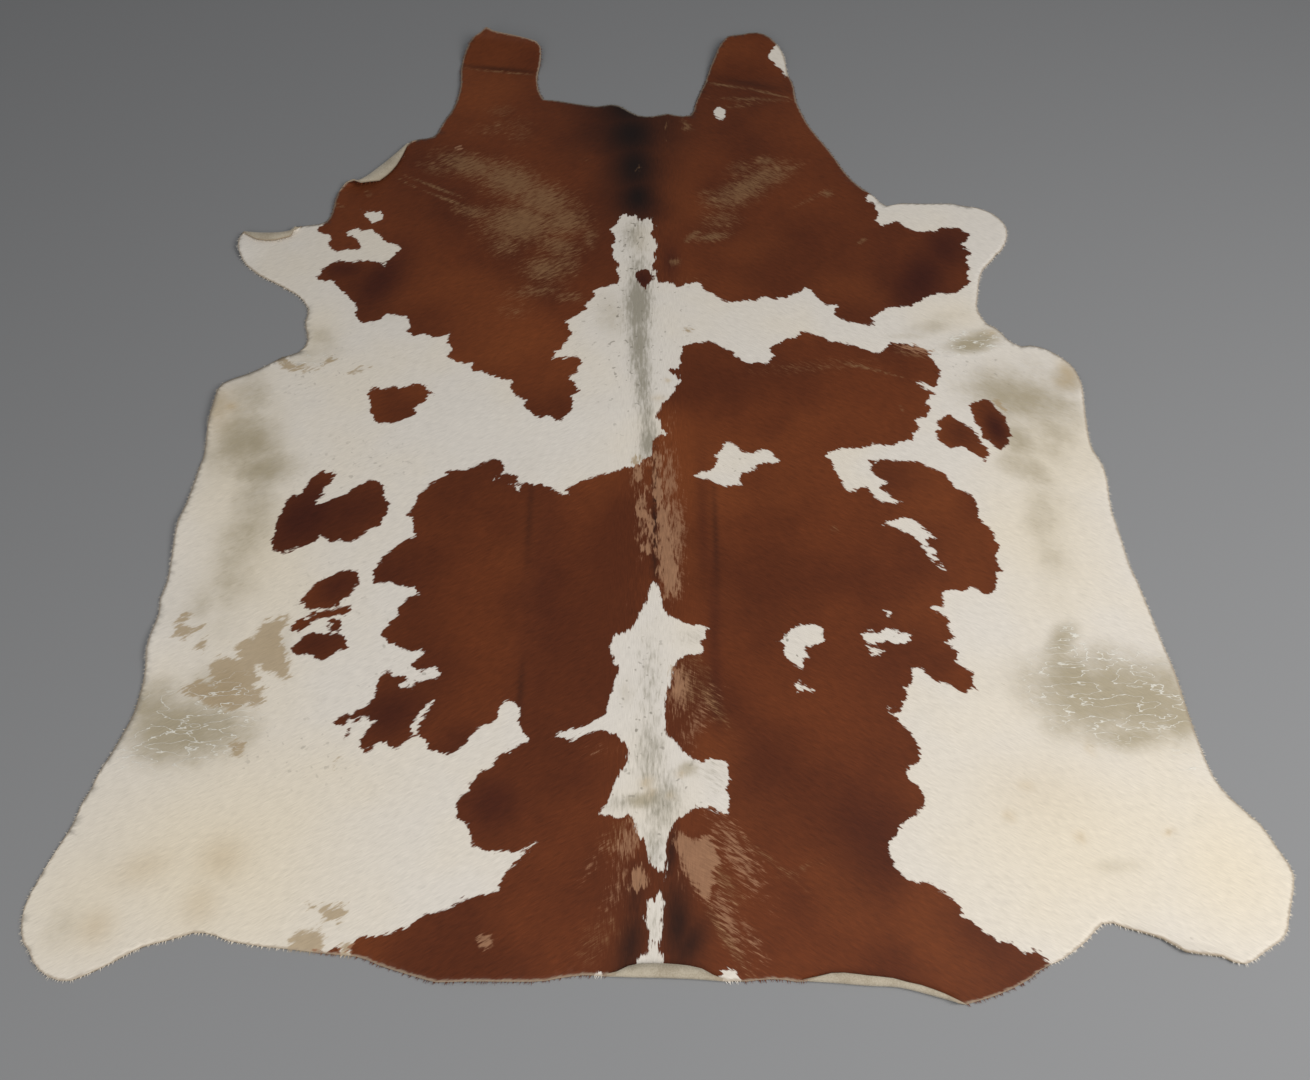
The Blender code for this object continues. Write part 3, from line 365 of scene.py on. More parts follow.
# Soft marks: centre, reach along and across in mm, the turn of the first reach in degrees, strength.
MARK_COLUMNS = ("x", "y", "along", "across", "turn", "strength")
SOFT_MARKS = {
    "black_and_crease_shade": (
        (-74, 850, 110, 105, 90, 1.0), (-66, 760, 130, 95, 90, 1.0), (-58, 650, 140, 75, 90, 1.0),
        (-50, 550, 100, 60, 90, 1.0), (-110, 790, 130, 80, 60, 0.6), (0, 780, 140, 70, 90, 0.6),
        # (97, -330), (-240, -300) and (-236, -650) are painted shade along soft creases in the back;
        # (-376, 992) and (205, 940) on the next line are painted shade in the folds of the two neck tabs.
        # The other rows darken the hair itself.
        (97, -330, 120, 5, 90, 0.5), (-240, -300, 110, 6, 90, 0.4), (-236, -650, 60, 6, 90, 0.5),
        (-376, 992, 95, 7, -8, 0.6), (205, 940, 90, 10, -16, 0.35), (-12, -300, 180, 5, 90, 0.85),
        (-11, -410, 60, 5, 90, 0.6), (22, -1040, 70, 26, 90, 0.85), (40, -1070, 50, 24, 60, 0.8),
        (13, -930, 50, 9, 85, 0.75), (-48, -1070, 60, 22, 80, 0.8), (-42, -1010, 50, 14, 90, 0.5)),
    "maroon_and_crease_shade": (
        (-585, 290, 120, 55, 70, 0.9), (-660, 330, 60, 30, 0, 0.8), (540, 300, 130, 70, 65, 1.0),
        (600, 390, 90, 60, 80, 0.9), (470, 330, 150, 60, 80, 0.5), (-650, -300, 90, 60, 50, 0.9),
        (-555, -280, 80, 60, 20, 0.6), (-570, -450, 50, 35, 40, 0.7), (-590, -560, 60, 40, 30, 0.6),
        (640, -95, 60, 30, 100, 1.0), (570, -110, 50, 40, 120, 0.6), (-450, -690, 70, 60, 40, 0.8),
        (-270, -850, 60, 60, 0, 0.8), (-210, -420, 200, 40, 90, 0.35), (-38, 300, 40, 30, 90, 1.0),
        (330, -900, 120, 60, 100, 0.5), (480, -1050, 90, 60, 140, 0.55), (380, -620, 60, 90, 0, 0.3),
        (-480, -420, 60, 60, 0, 0.5), (440, -220, 80, 60, 0, 0.35), (20, 350, 60, 22, 90, 0.7),
        # (90, -560) and (75, -300) on the next line are painted shade along a soft crease in the back; the
        # other rows are dark red-brown hair.
        (90, -560, 200, 12, 90, 0.5), (75, -300, 170, 14, 90, 0.45), (-330, -760, 60, 50, 0, 0.5),
        (470, -380, 90, 90, 0, 0.3), (150, -820, 160, 50, 100, 0.25), (-420, 150, 120, 60, 30, 0.2)),
    "scuff": (
        (-420, 650, 95, 42, -25, 0.85), (-330, 600, 100, 60, -35, 0.9), (-260, 540, 90, 60, -40, 0.9),
        (-300, 470, 90, 70, 0, 0.95), (-210, 470, 60, 60, 0, 0.85), (-220, 400, 60, 40, -30, 0.7),
        (-330, 400, 40, 40, 0, 0.6), (-245, 330, 50, 45, -20, 0.75), (-205, 340, 40, 50, 0, 0.6),
        (-150, 425, 20, 40, 0, 0.6), (-400, 500, 60, 22, -20, 0.7), (-260, 265, 70, 22, 10, 0.55),
        (-300, 210, 40, 30, 0, 0.35), (-190, 250, 40, 20, 0, 0.5), (-500, 640, 50, 24, -30, 0.5),
        (-380, 780, 70, 30, 15, 0.35), (-320, 770, 40, 60, 0, 0.35), (-370, 840, 40, 24, 10, 0.4),
        (180, 570, 100, 42, 40, 0.8), (240, 620, 70, 40, 35, 0.75), (120, 540, 40, 30, 20, 0.6),
        (130, 480, 50, 40, 20, 0.5), (110, 425, 45, 14, 10, 0.85), (70, 430, 28, 10, 45, 0.8),
        (58, 415, 10, 10, 0, 0.8), (235, 665, 26, 20, 0, 0.8), (180, 640, 40, 30, 30, 0.5),
        (290, 640, 40, 20, 40, 0.5), (30, 350, 14, 14, 0, 0.8), (365, 560, 14, 12, 0, 0.9),
        (330, 545, 60, 8, 35, 0.4), (40, -640, 22, 60, 10, 0.6), (80, -670, 60, 14, -60, 0.6),
        (60, -600, 60, 14, -60, 0.45), (95, -1060, 70, 12, -60, 0.6), (-60, -900, 60, 30, 40, 0.4),
        (90, -970, 60, 22, -60, 0.5), (-95, -1060, 60, 30, 60, 0.35), (500, 95, 50, 12, -15, 0.5),
        (300, 60, 160, 22, 5, 0.28), (-455, 535, 70, 5, -28, 0.9), (-495, 580, 70, 5, -28, 0.95),
        (-560, 595, 40, 4, -35, 0.6), (390, 62, 50, 5, -18, 0.8), (440, 45, 50, 3, -20, 0.7),
        (-700, 520, 20, 5, -15, 0.8), (-640, 560, 14, 8, -60, 0.6), (60, 300, 60, 30, 0, 0.2),
        (100, 560, 30, 20, 0, 0.4), (150, -930, 90, 8, -40, 0.4), (215, -955, 50, 5, 20, 0.5),
        (-376, 982, 100, 4, -8, 0.9), (155, 932, 60, 5, -14, 0.9), (250, 905, 60, 5, -20, 0.9),
        (215, 882, 100, 7, -3, 0.7), (190, 860, 60, 8, 10, 0.5), (60, 790, 26, 8, -60, 0.8),
        (60, 777, 12, 5, 0, 0.8), (-48, 637, 5, 14, 0, 0.9), (15, 790, 5, 20, 0, 0.6),
        (10, 742, 6, 5, 0, 0.8), (-172, 672, 8, 6, 0, 0.7), (428, 412, 14, 6, 35, 0.9),
        (464, -46, 4, 9, 15, 0.9), (312, -328, 9, 9, 0, 0.6)),
    "olive": (
        (-100, 200, 90, 60, 90, 0.35), (-560, 200, 60, 30, 0, 0.3), (620, 120, 60, 26, 12, 1.0),
        (650, 135, 40, 30, 0, 0.8), (590, 190, 60, 40, 0, 0.35), (725, -655, 130, 95, 0, 1.0),
        (800, -670, 110, 85, 0, 1.0), (690, -630, 70, 70, 0, 1.0), (850, -700, 60, 60, 0, 0.9),
        (770, -735, 100, 30, 0, 0.8), (-805, -80, 50, 200, 0, 0.5), (-755, -330, 55, 220, 0, 0.55),
        (735, -60, 60, 150, 0, 0.6), (695, -330, 50, 200, 0, 0.42), (-700, 100, 80, 50, 0, 0.45),
        (-840, -690, 60, 70, 0, 0.8), (560, 170, 90, 30, 10, 0.4), (680, -570, 60, 30, 60, 0.8),
        (840, -700, 60, 40, 0, 0.6), (-780, -720, 120, 70, 0, 1.0), (-740, -650, 60, 60, 0, 0.7),
        (-830, -740, 60, 40, 0, 0.6), (-790, -130, 80, 90, 0, 0.85), (-800, -20, 60, 70, 0, 0.6),
        (-745, -190, 80, 50, 0, 0.75), (-740, -320, 60, 110, 0, 0.6), (-750, -430, 60, 100, 0, 0.5),
        (-850, -40, 40, 60, 0, 0.5), (-690, 130, 60, 60, 0, 0.4), (700, -20, 140, 80, -20, 0.8),
        (740, -100, 70, 60, 0, 0.6), (790, 15, 50, 50, 0, 0.6), (770, -30, 60, 16, -10, 0.7),
        (680, -120, 50, 60, 0, 0.6), (680, -190, 70, 40, -30, 0.65), (720, -270, 100, 40, 0, 0.3),
        (-90, -840, 4, 4, 0, 0.2), (-30, -845, 30, 14, 0, 0.8), (42, -790, 18, 16, 0, 0.8),
        (-800, -480, 60, 60, 0, 0.35), (690, -430, 60, 90, 0, 0.3), (-720, 70, 60, 30, 0, 0.3),
        (500, 140, 60, 14, 0, 0.4), (700, -950, 60, 20, 0, 0.35), (-660, -560, 60, 60, 0, 0.3),
        (-45, 420, 60, 30, 90, 0.45), (-900, -1040, 40, 60, 0, 0.35), (-870, -930, 60, 40, 0, 0.2),
        (-60, -650, 60, 20, 90, 0.3)),
    "ochre": (
        (-830, -45, 14, 14, 0, 0.9), (-850, -50, 30, 60, 0, 0.5), (800, 40, 20, 40, 0, 0.8),
        (790, 18, 24, 20, 0, 0.6), (-850, -1045, 30, 30, 0, 0.5), (-800, -955, 50, 30, 20, 0.4),
        (-680, -940, 40, 40, 0, 0.5), (-700, -1010, 30, 40, 0, 0.4), (580, -820, 22, 14, 0, 0.45),
        (650, -905, 10, 10, 0, 0.6), (600, -830, 90, 60, 0, 0.2), (693, -755, 8, 12, 0, 0.5),
        (545, -870, 10, 12, 0, 0.6), (790, -896, 9, 5, 30, 0.8), (-25, -815, 10, 12, 0, 0.9),
        (-18, -832, 10, 8, 0, 0.9), (12, -838, 7, 6, 0, 0.9), (28, -800, 6, 6, 0, 0.8),
        (13, 24, 6, 5, 0, 0.8), (-5, -20, 14, 8, 0, 0.5), (665, 150, 14, 10, 0, 0.5)),
    "cream": (
        (-700, -940, 240, 180, 0, 1.0), (-860, -1000, 140, 140, 0, 0.8), (650, -900, 260, 160, 0, 0.8),
        (860, -950, 120, 140, 0, 0.9), (-560, -820, 200, 100, 0, 0.5), (-720, -380, 120, 200, 0, 0.8),
        (-790, -200, 80, 200, 0, 0.7), (700, -330, 120, 160, 0, 0.7), (740, -180, 120, 120, 0, 0.6),
        (-700, 150, 60, 90, 0, 0.6), (600, 200, 80, 60, 0, 0.5), (560, -1020, 100, 60, 0, 0.5)),
    "roan": (
        (14, -220, 90, 22, 90, 0.8), (24, -340, 110, 24, 88, 0.85), (22, -430, 60, 20, 90, 0.8),
        (-46, -190, 60, 16, 90, 0.8), (-36, -300, 90, 12, 90, 0.7), (10, -150, 40, 24, 90, 0.5),
        (30, -650, 60, 26, 80, 0.8), (55, -710, 70, 20, 70, 0.6), (85, -680, 50, 10, 60, 0.4),
        (115, -930, 90, 26, -62, 0.7), (95, -1030, 80, 20, -68, 0.7), (130, -1060, 50, 14, -60, 0.5),
        (60, -950, 60, 40, 90, 0.5), (-52, -910, 60, 22, 65, 0.8), (-70, -985, 70, 18, 70, 0.5),
        (-95, -930, 60, 18, 60, 0.4), (-60, -600, 120, 8, 90, 0.4), (-100, -760, 30, 12, 0, 0.4),
        (510, 108, 50, 14, -15, 0.7), (20, -80, 60, 12, 80, 0.35)),
    "band": (
        (-47, 330, 60, 30, 90, 0.5), (-46, 230, 110, 30, 90, 0.9), (-44, 120, 100, 24, 90, 0.8),
        (-36, 30, 100, 20, 90, 0.7), (-28, -60, 80, 16, 90, 0.6), (-24, -130, 60, 20, 90, 0.8),
        (-62, 430, 60, 30, 90, 0.45), (-45, 470, 30, 30, 0, 0.35), (-20, -640, 130, 26, 90, 0.35),
        (-20, -760, 80, 30, 90, 0.5), (0, -850, 70, 40, 90, 0.55), (-14, -920, 50, 20, 90, 0.5),
        (80, -800, 40, 40, 0, 0.25), (-70, -850, 40, 22, 0, 0.4), (50, -550, 30, 20, 0, 0.3),
        (-15, -1050, 60, 14, 90, 0.3)),
    "specks": (
        (-50, 250, 230, 110, 90, 1.0), (-60, 50, 160, 60, 90, 0.8), (-60, 430, 80, 50, 90, 1.0),
        (-30, -700, 190, 60, 90, 0.8), (0, -850, 80, 100, 0, 0.8), (230, -570, 60, 50, 0, 0.9),
        (390, -550, 60, 30, 0, 0.9), (-450, -560, 120, 60, 0, 0.4), (-660, 60, 120, 90, 0, 0.4),
        (-420, -660, 100, 80, 0, 0.6), (-600, -760, 160, 80, 0, 0.35), (130, -180, 60, 50, 0, 0.5),
        (-560, -180, 120, 80, 0, 0.35), (620, 60, 120, 60, 0, 0.4), (-580, -480, 60, 100, 0, 0.5)),
    "bare": (
        (735, -650, 140, 100, 0, 1.0), (820, -650, 90, 90, 0, 0.9), (690, -570, 60, 40, 60, 0.8),
        (-790, -720, 130, 75, 10, 1.0), (-720, -670, 60, 60, 0, 0.7), (625, 125, 70, 35, 10, 1.0),
        (560, 100, 60, 30, 0, 0.6), (-700, 75, 60, 25, 0, 0.8), (850, -780, 40, 70, 0, 0.5)),
}

COLOURS = {
    "brown": (0.145, 0.034, 0.0085), "brown_bright": (0.225, 0.058, 0.014),
    # The two darkest colours serve dark hair and also painted shade along creases and folds.
    "brown_deep": (0.098, 0.022, 0.0060), "maroon_and_crease_shade": (0.050, 0.0100, 0.0045),
    "black_and_crease_shade": (0.011, 0.0045, 0.0030), "khaki": (0.235, 0.125, 0.056), "tan": (0.43, 0.32, 0.19),
    "pink_tan": (0.34, 0.175, 0.095), "white": (0.76, 0.70, 0.62), "cream": (0.80, 0.70, 0.54),
    "olive": (0.40, 0.335, 0.22), "ochre": (0.55, 0.41, 0.23), "speck": (0.25, 0.22, 0.175),
    "grey_band": (0.30, 0.27, 0.205), "flesh": (0.50, 0.435, 0.33), "flesh_dark": (0.36, 0.30, 0.215),
    "rim": (0.42, 0.33, 0.235), "crease": (0.82, 0.79, 0.70), "floor": (0.26, 0.26, 0.262),
}


def in_row(points):
    """Table places, in mm from the mark, as metres in the row frame."""
    low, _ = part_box("hide")
    origin = np.array([low[0] - LEFT_LEG_TIP_X * MM, low[1] - RUMP_TIP_Y * MM])
    return np.asarray(points, dtype=float) * MM + origin


def inside_depth(points, ring):
    """How deep each point lies inside a closed ring, in metres; less than 0 outside it."""
    near_enough = ((points > ring.min(axis=0) - NEAR_PATCH)
                   & (points < ring.max(axis=0) + NEAR_PATCH)).all(axis=1)
    depth = np.full(len(points), -NEAR_PATCH)
    near = points[near_enough]
    gap = np.full(len(near), np.inf)
    within = np.zeros(len(near), dtype=bool)
    for start, end in zip(ring, np.roll(ring, -1, axis=0)):
        span = end - start
        rel = near - start
        share = np.clip(rel @ span / max(span @ span, 1e-12), 0, 1)
        gap = np.minimum(gap, ((rel - share[:, None] * span) ** 2).sum(axis=1))
        crosses = (start[1] > near[:, 1]) != (end[1] > near[:, 1])
        if span[1]:
            within ^= crosses & (near[:, 0] < start[0] + (near[:, 1] - start[1]) * span[0] / span[1])
    depth[near_enough] = np.sqrt(gap) * np.where(within, 1, -1)
    return depth


def deepest(points, patches):
    """How deep each point lies inside the nearest of several patches."""
    return np.max([inside_depth(points, in_row(ring)) for ring in patches.values()], axis=0)


def soft_mark(points, rows):
    """The strength of a set of soft marks at each point, 0 to 1."""
    total = np.zeros(len(points))
    for row in rows:
        mark = dict(zip(MARK_COLUMNS, row))
        rel = points - in_row((mark["x"], mark["y"]))
        turn = math.radians(mark["turn"])
        along = rel @ (math.cos(turn), math.sin(turn)) / (mark["along"] * MM)
        across = rel @ (-math.sin(turn), math.cos(turn)) / (mark["across"] * MM)
        total = np.maximum(total, mark["strength"] * np.exp(-MARK_FALLOFF * (along ** 2 + across ** 2)))
    return total


def beside_spine(points):
    """0 on the spine, where the hair lies straight back, to 1 beside it, where it lies outwards."""
    reach = np.abs(points[:, 0] - in_row((SPINE_X, 0))[0])
    share = np.clip((reach - PARTING_START) / PARTING_WIDTH, 0, 1)
    return share * share * (3 - 2 * share)


def rim_faces(work):
    """The faces of the cut rim: those with no other side one thickness behind them."""
    tree = BVHTree.FromBMesh(work)
    found = set()
    for face in work.faces:
        start = face.calc_center_median() - face.normal * 0.1 * SHEET_THICKNESS
        hit = tree.ray_cast(start, -face.normal, 1.15 * SHEET_THICKNESS)
        if hit[0] is None:
            found.add(face)
    return found


def coat_side(work, rim):
    """The faces of the coat side, reached from the middle of the back without crossing the rim."""
    seed = min((f for f in work.faces if f.normal.z > 0.9),
               key=lambda f: f.calc_center_median().xy.length)
    found, edge_of_skin = {seed}, [seed]
    while edge_of_skin:
        face = edge_of_skin.pop()
        for edge in face.edges:
            if edge.calc_face_angle(math.pi) > math.radians(RIM_ANGLE):
                continue
            for other in edge.link_faces:
                if other not in found and other not in rim:
                    found.add(other)
                    edge_of_skin.append(other)
    return found


def split_long_edges(work, limit):
    """Cut in half every edge of the coat side that is longer than the limit."""
    long_edges = [e for e in work.edges if e.calc_length() > limit
                  and any(f.material_index == COAT for f in e.link_faces)]
    bmesh.ops.subdivide_edges(work, edges=long_edges, cuts=1)
    bmesh.ops.triangulate(work, faces=[f for f in work.faces if len(f.verts) > 3])


def smoothed(points, edges, movable):
    """Points eased towards their neighbours."""
    total = np.zeros_like(points)
    count = np.zeros(len(points))
    for a, b in ((0, 1), (1, 0)):
        np.add.at(total, edges[:, a], points[edges[:, b]])
        np.add.at(count, edges[:, a], 1)
    chosen = movable & (count > 2)
    points[chosen] = 0.5 * points[chosen] + 0.5 * total[chosen] / count[chosen, None]
    return points


def fine_hide():
    """The CAD sheet again, with a fine coat side that is smooth where it lies open."""
    work = bmesh.new()
    work.from_mesh(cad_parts["hide"].data)
    bmesh.ops.remove_doubles(work, verts=work.verts, dist=WELD * MM)
    work.normal_update()
    rim = rim_faces(work)
    coat = coat_side(work, rim)
    for face in work.faces:
        face.material_index = COAT if face in coat else (RIM if face in rim else FLESH)
    for limit in EDGE_LIMITS:
        split_long_edges(work, limit)
    work.normal_update()
    work.verts.index_update()

    edges = [[v.index for v in e.verts] for e in work.edges
             if all(f.material_index == COAT for f in e.link_faces)]
    movable = np.array([v.normal.z > OPEN_UPWARDS
                        and all(f.material_index == COAT for f in v.link_faces) for v in work.verts])
    points = np.array([v.co for v in work.verts])
    for _ in range(SKIN_SMOOTHING):
        points = smoothed(points, np.array(edges), movable)
    for vert, place in zip(work.verts, points):
        vert.co = place
    mesh = bpy.data.meshes.new("cowhide")
    work.to_mesh(mesh)
    work.normal_update()
    rim_line = [(edge.verts[0].co.copy(), edge.verts[1].co.copy(), face.normal.copy())
                for edge in work.edges for face in edge.link_faces
                if sorted(f.material_index for f in edge.link_faces) == [COAT, RIM]
                and face.material_index == RIM]
    work.free()
    return mesh, rim_line


def loose_hairs(rim_line):
    """Small tufts of coat that stand out past the cut rim."""
    dice = np.random.default_rng(SEED)
    spine = in_row((SPINE_X, 0))[0]
    inwards, down = HAIR_ROOT
    work = bmesh.new()
    for start, end, out in rim_line:
        if out.xy.length < 0.5:
            continue
        out = Vector((out.x, out.y, 0)).normalized()
        lie = Vector((math.copysign(LIE_OUT, start.x - spine), -LIE_BACK, 0))
        for _ in range(max(1, round((end - start).length / (HAIR_SPACING * MM)))):
            along = (end - start).normalized()
            root = start.lerp(end, dice.uniform()) - out * inwards * MM - Vector((0, 0, down * MM))
            sweep = (out + lie * dice.uniform(*HAIR_SWEEP)
                     + along * dice.uniform(-HAIR_STRAY, HAIR_STRAY))
            if sweep.dot(out) < 0.3:
                sweep = out
            tip = root + sweep.normalized() * dice.uniform(*HAIR_LENGTHS) * MM
            tip.z = max(HAIR_LOWEST * MM, tip.z - dice.uniform(0, HAIR_DROOP) * MM)
            corners = [work.verts.new(p) for p in (
                root - along * HAIR_WIDTH * MM, root + along * HAIR_WIDTH * MM,
                root - Vector((0, 0, HAIR_WIDTH * MM)), tip)]
            for a, b, c in ((0, 1, 3), (1, 2, 3), (2, 0, 3), (0, 2, 1)):
                work.faces.new((corners[a], corners[b], corners[c]))
    bmesh.ops.recalc_face_normals(work, faces=work.faces)
    mesh = bpy.data.meshes.new("loose_hairs")
    work.to_mesh(mesh)
    work.free()
    return mesh


def add_bake_map(mesh, places):
    """A flat map: the open coat side large, everything else in a strip beside it."""
    corners = np.empty(len(mesh.loops), dtype=int)
    mesh.loops.foreach_get("vertex_index", corners)
    open_coat = np.repeat([f.material_index == COAT and f.normal.z > 0 for f in mesh.polygons],
                          [f.loop_total for f in mesh.polygons])
    low, high = places.min(axis=0), places.max(axis=0)
    share = ((places - low) / (high - low))[corners, :2]
    flat = np.column_stack([np.where(open_coat, 0.01 + 0.84 * share[:, 0], 0.87 + 0.12 * share[:, 0]),
                            0.01 + 0.98 * share[:, 1]])
    layer = mesh.uv_layers.new(name="OFBake")
    layer.data.foreach_set("uv", flat.astype(np.float32).ravel())


def gap_to_rim(mesh, places):
    """How far each vertex is from the cut rim, in metres; loose hairs count as far from it."""
    if len(mesh.materials) == 1:
        return np.ones(len(places))
    rim = sorted({v for face in mesh.polygons if face.material_index == RIM for v in face.vertices})
    tree = KDTree(len(rim))
    for k, vert in enumerate(rim):
        tree.insert(mesh.vertices[vert].co, k)
    tree.balance()
    return np.array([tree.find(place)[2] for place in places])


def lie_beside_spine(plan):
    """Coordinates across and along the hair's lie beside the spine, and the side it is on."""
    reach = np.abs(plan[:, 0] - in_row((SPINE_X, 0))[0])
    return np.column_stack([plan[:, 1] * LIE_OUT + reach * LIE_BACK,
                            reach * LIE_OUT - plan[:, 1] * LIE_BACK, np.sign(plan[:, 0])])


def write_attribute(mesh, name, values):
    """Store a number, or three, at each vertex."""
    kind = "FLOAT_VECTOR" if values.ndim == 2 else "FLOAT"
    layer = mesh.attributes.new(name, kind, "POINT")
    layer.data.foreach_set("vector" if values.ndim == 2 else "value",
                           values.astype(np.float32).ravel())


def paint(mesh):
    """Work out the coat's pattern at each vertex."""
    places = np.empty(len(mesh.vertices) * 3)
    mesh.vertices.foreach_get("co", places)
    places = places.reshape(-1, 3)
    plan = places[:, :2]
    brown = np.minimum(deepest(plan, BROWN_PATCHES), -deepest(plan, WHITE_PATCHES))
    write_attribute(mesh, "brown", brown / MM)
    write_attribute(mesh, "tan", deepest(plan, TAN_PATCHES) / MM)
    write_attribute(mesh, "rim_gap", gap_to_rim(mesh, places) / MM)
    write_attribute(mesh, "side", beside_spine(plan))
    add_bake_map(mesh, places)
    write_attribute(mesh, "lay", lie_beside_spine(plan))
    for name, rows in SOFT_MARKS.items():
        write_attribute(mesh, name, soft_mark(plan, rows))


class Graph:
    """Short names for the nodes of one material."""

    def __init__(self, name):
        self.material = bpy.data.materials.new(name)
        self.material.use_nodes = True
        self.tree = self.material.node_tree
        self.shader = self.tree.nodes["Principled BSDF"]

    def node(self, kind, **settings):
        made = self.tree.nodes.new(kind)
        for key, value in settings.items():
            setattr(made, key, value)
        return made

    def plug(self, socket, value):
        if isinstance(value, bpy.types.NodeSocket):
            self.tree.links.new(value, socket)
        elif socket.type == "RGBA":
            socket.default_value = (*value, 1)
        else:
            socket.default_value = value

    def read(self, name, vector=False):
        made = self.node("ShaderNodeAttribute", attribute_name=name)
        return made.outputs["Vector" if vector else "Fac"]

    def object_place(self):
        return self.node("ShaderNodeTexCoord").outputs["Object"]

    def math(self, operation, a, b=0.0):
        made = self.node("ShaderNodeMath", operation=operation)
        self.plug(made.inputs[0], a)
        self.plug(made.inputs[1], b)
        return made.outputs[0]

    def add(self, a, b):
        return self.math("ADD", a, b)

    def times(self, a, b):
        return self.math("MULTIPLY", a, b)

    def swing(self, grain, reach):
        """A grain of 0 to 1 as a value around 0."""
        return self.times(self.add(grain, -0.5), reach)

    def step(self, value, low, high):
        made = self.node("ShaderNodeMapRange", interpolation_type="SMOOTHSTEP")
        for socket, given in zip(("Value", "From Min", "From Max"), (value, low, high)):
            self.plug(made.inputs[socket], given)
        return made.outputs["Result"]

    def mix(self, share, a, b):
        made = self.node("ShaderNodeMix", data_type="RGBA")
        self.plug(made.inputs[0], share)
        self.plug(made.inputs[6], COLOURS[a] if isinstance(a, str) else a)
        self.plug(made.inputs[7], COLOURS[b] if isinstance(b, str) else b)
        return made.outputs[2]

    def noise(self, vector, scale, detail=2.0, roughness=0.5):
        made = self.node("ShaderNodeTexNoise")
        self.plug(made.inputs["Vector"], vector)
        for socket, given in (("Scale", scale), ("Detail", detail), ("Roughness", roughness)):
            self.plug(made.inputs[socket], given)
        return made.outputs["Fac"]

    def stretched(self, vector, sizes):
        made = self.node("ShaderNodeVectorMath", operation="MULTIPLY")
        self.plug(made.inputs[0], vector)
        made.inputs[1].default_value = sizes
        return made.outputs[0]

    def bump(self, height, strength, distance):
        made = self.node("ShaderNodeBump")
        self.plug(made.inputs["Height"], height)
        made.inputs["Strength"].default_value = strength
        made.inputs["Distance"].default_value = distance
        return made.outputs["Normal"]

    def finish(self, colour, roughness, normal, sheen=0.0):
        self.plug(self.shader.inputs["Base Color"], colour)
        self.plug(self.shader.inputs["Roughness"], roughness)
        self.plug(self.shader.inputs["Normal"], normal)
        self.shader.inputs["Sheen Weight"].default_value = sheen
        self.shader.inputs["Specular IOR Level"].default_value = 0.18
        return self.material


def hair_noise(g, grain, detail=2.0, roughness=0.5):
    """Noise drawn out along the lie of the hair: straight back on the spine, outwards beside it."""
    across, along = grain
    place = g.object_place()
    middle = g.noise(g.stretched(place, (across, along, 1.0)), 1.0, detail, roughness)
    beside = g.noise(g.stretched(g.read("lay", vector=True), (across, along, 5.0)), 1.0, detail,
                     roughness)
    return g.add(g.times(middle, g.math("SUBTRACT", 1.0, g.read("side"))),
                 g.times(beside, g.read("side")))


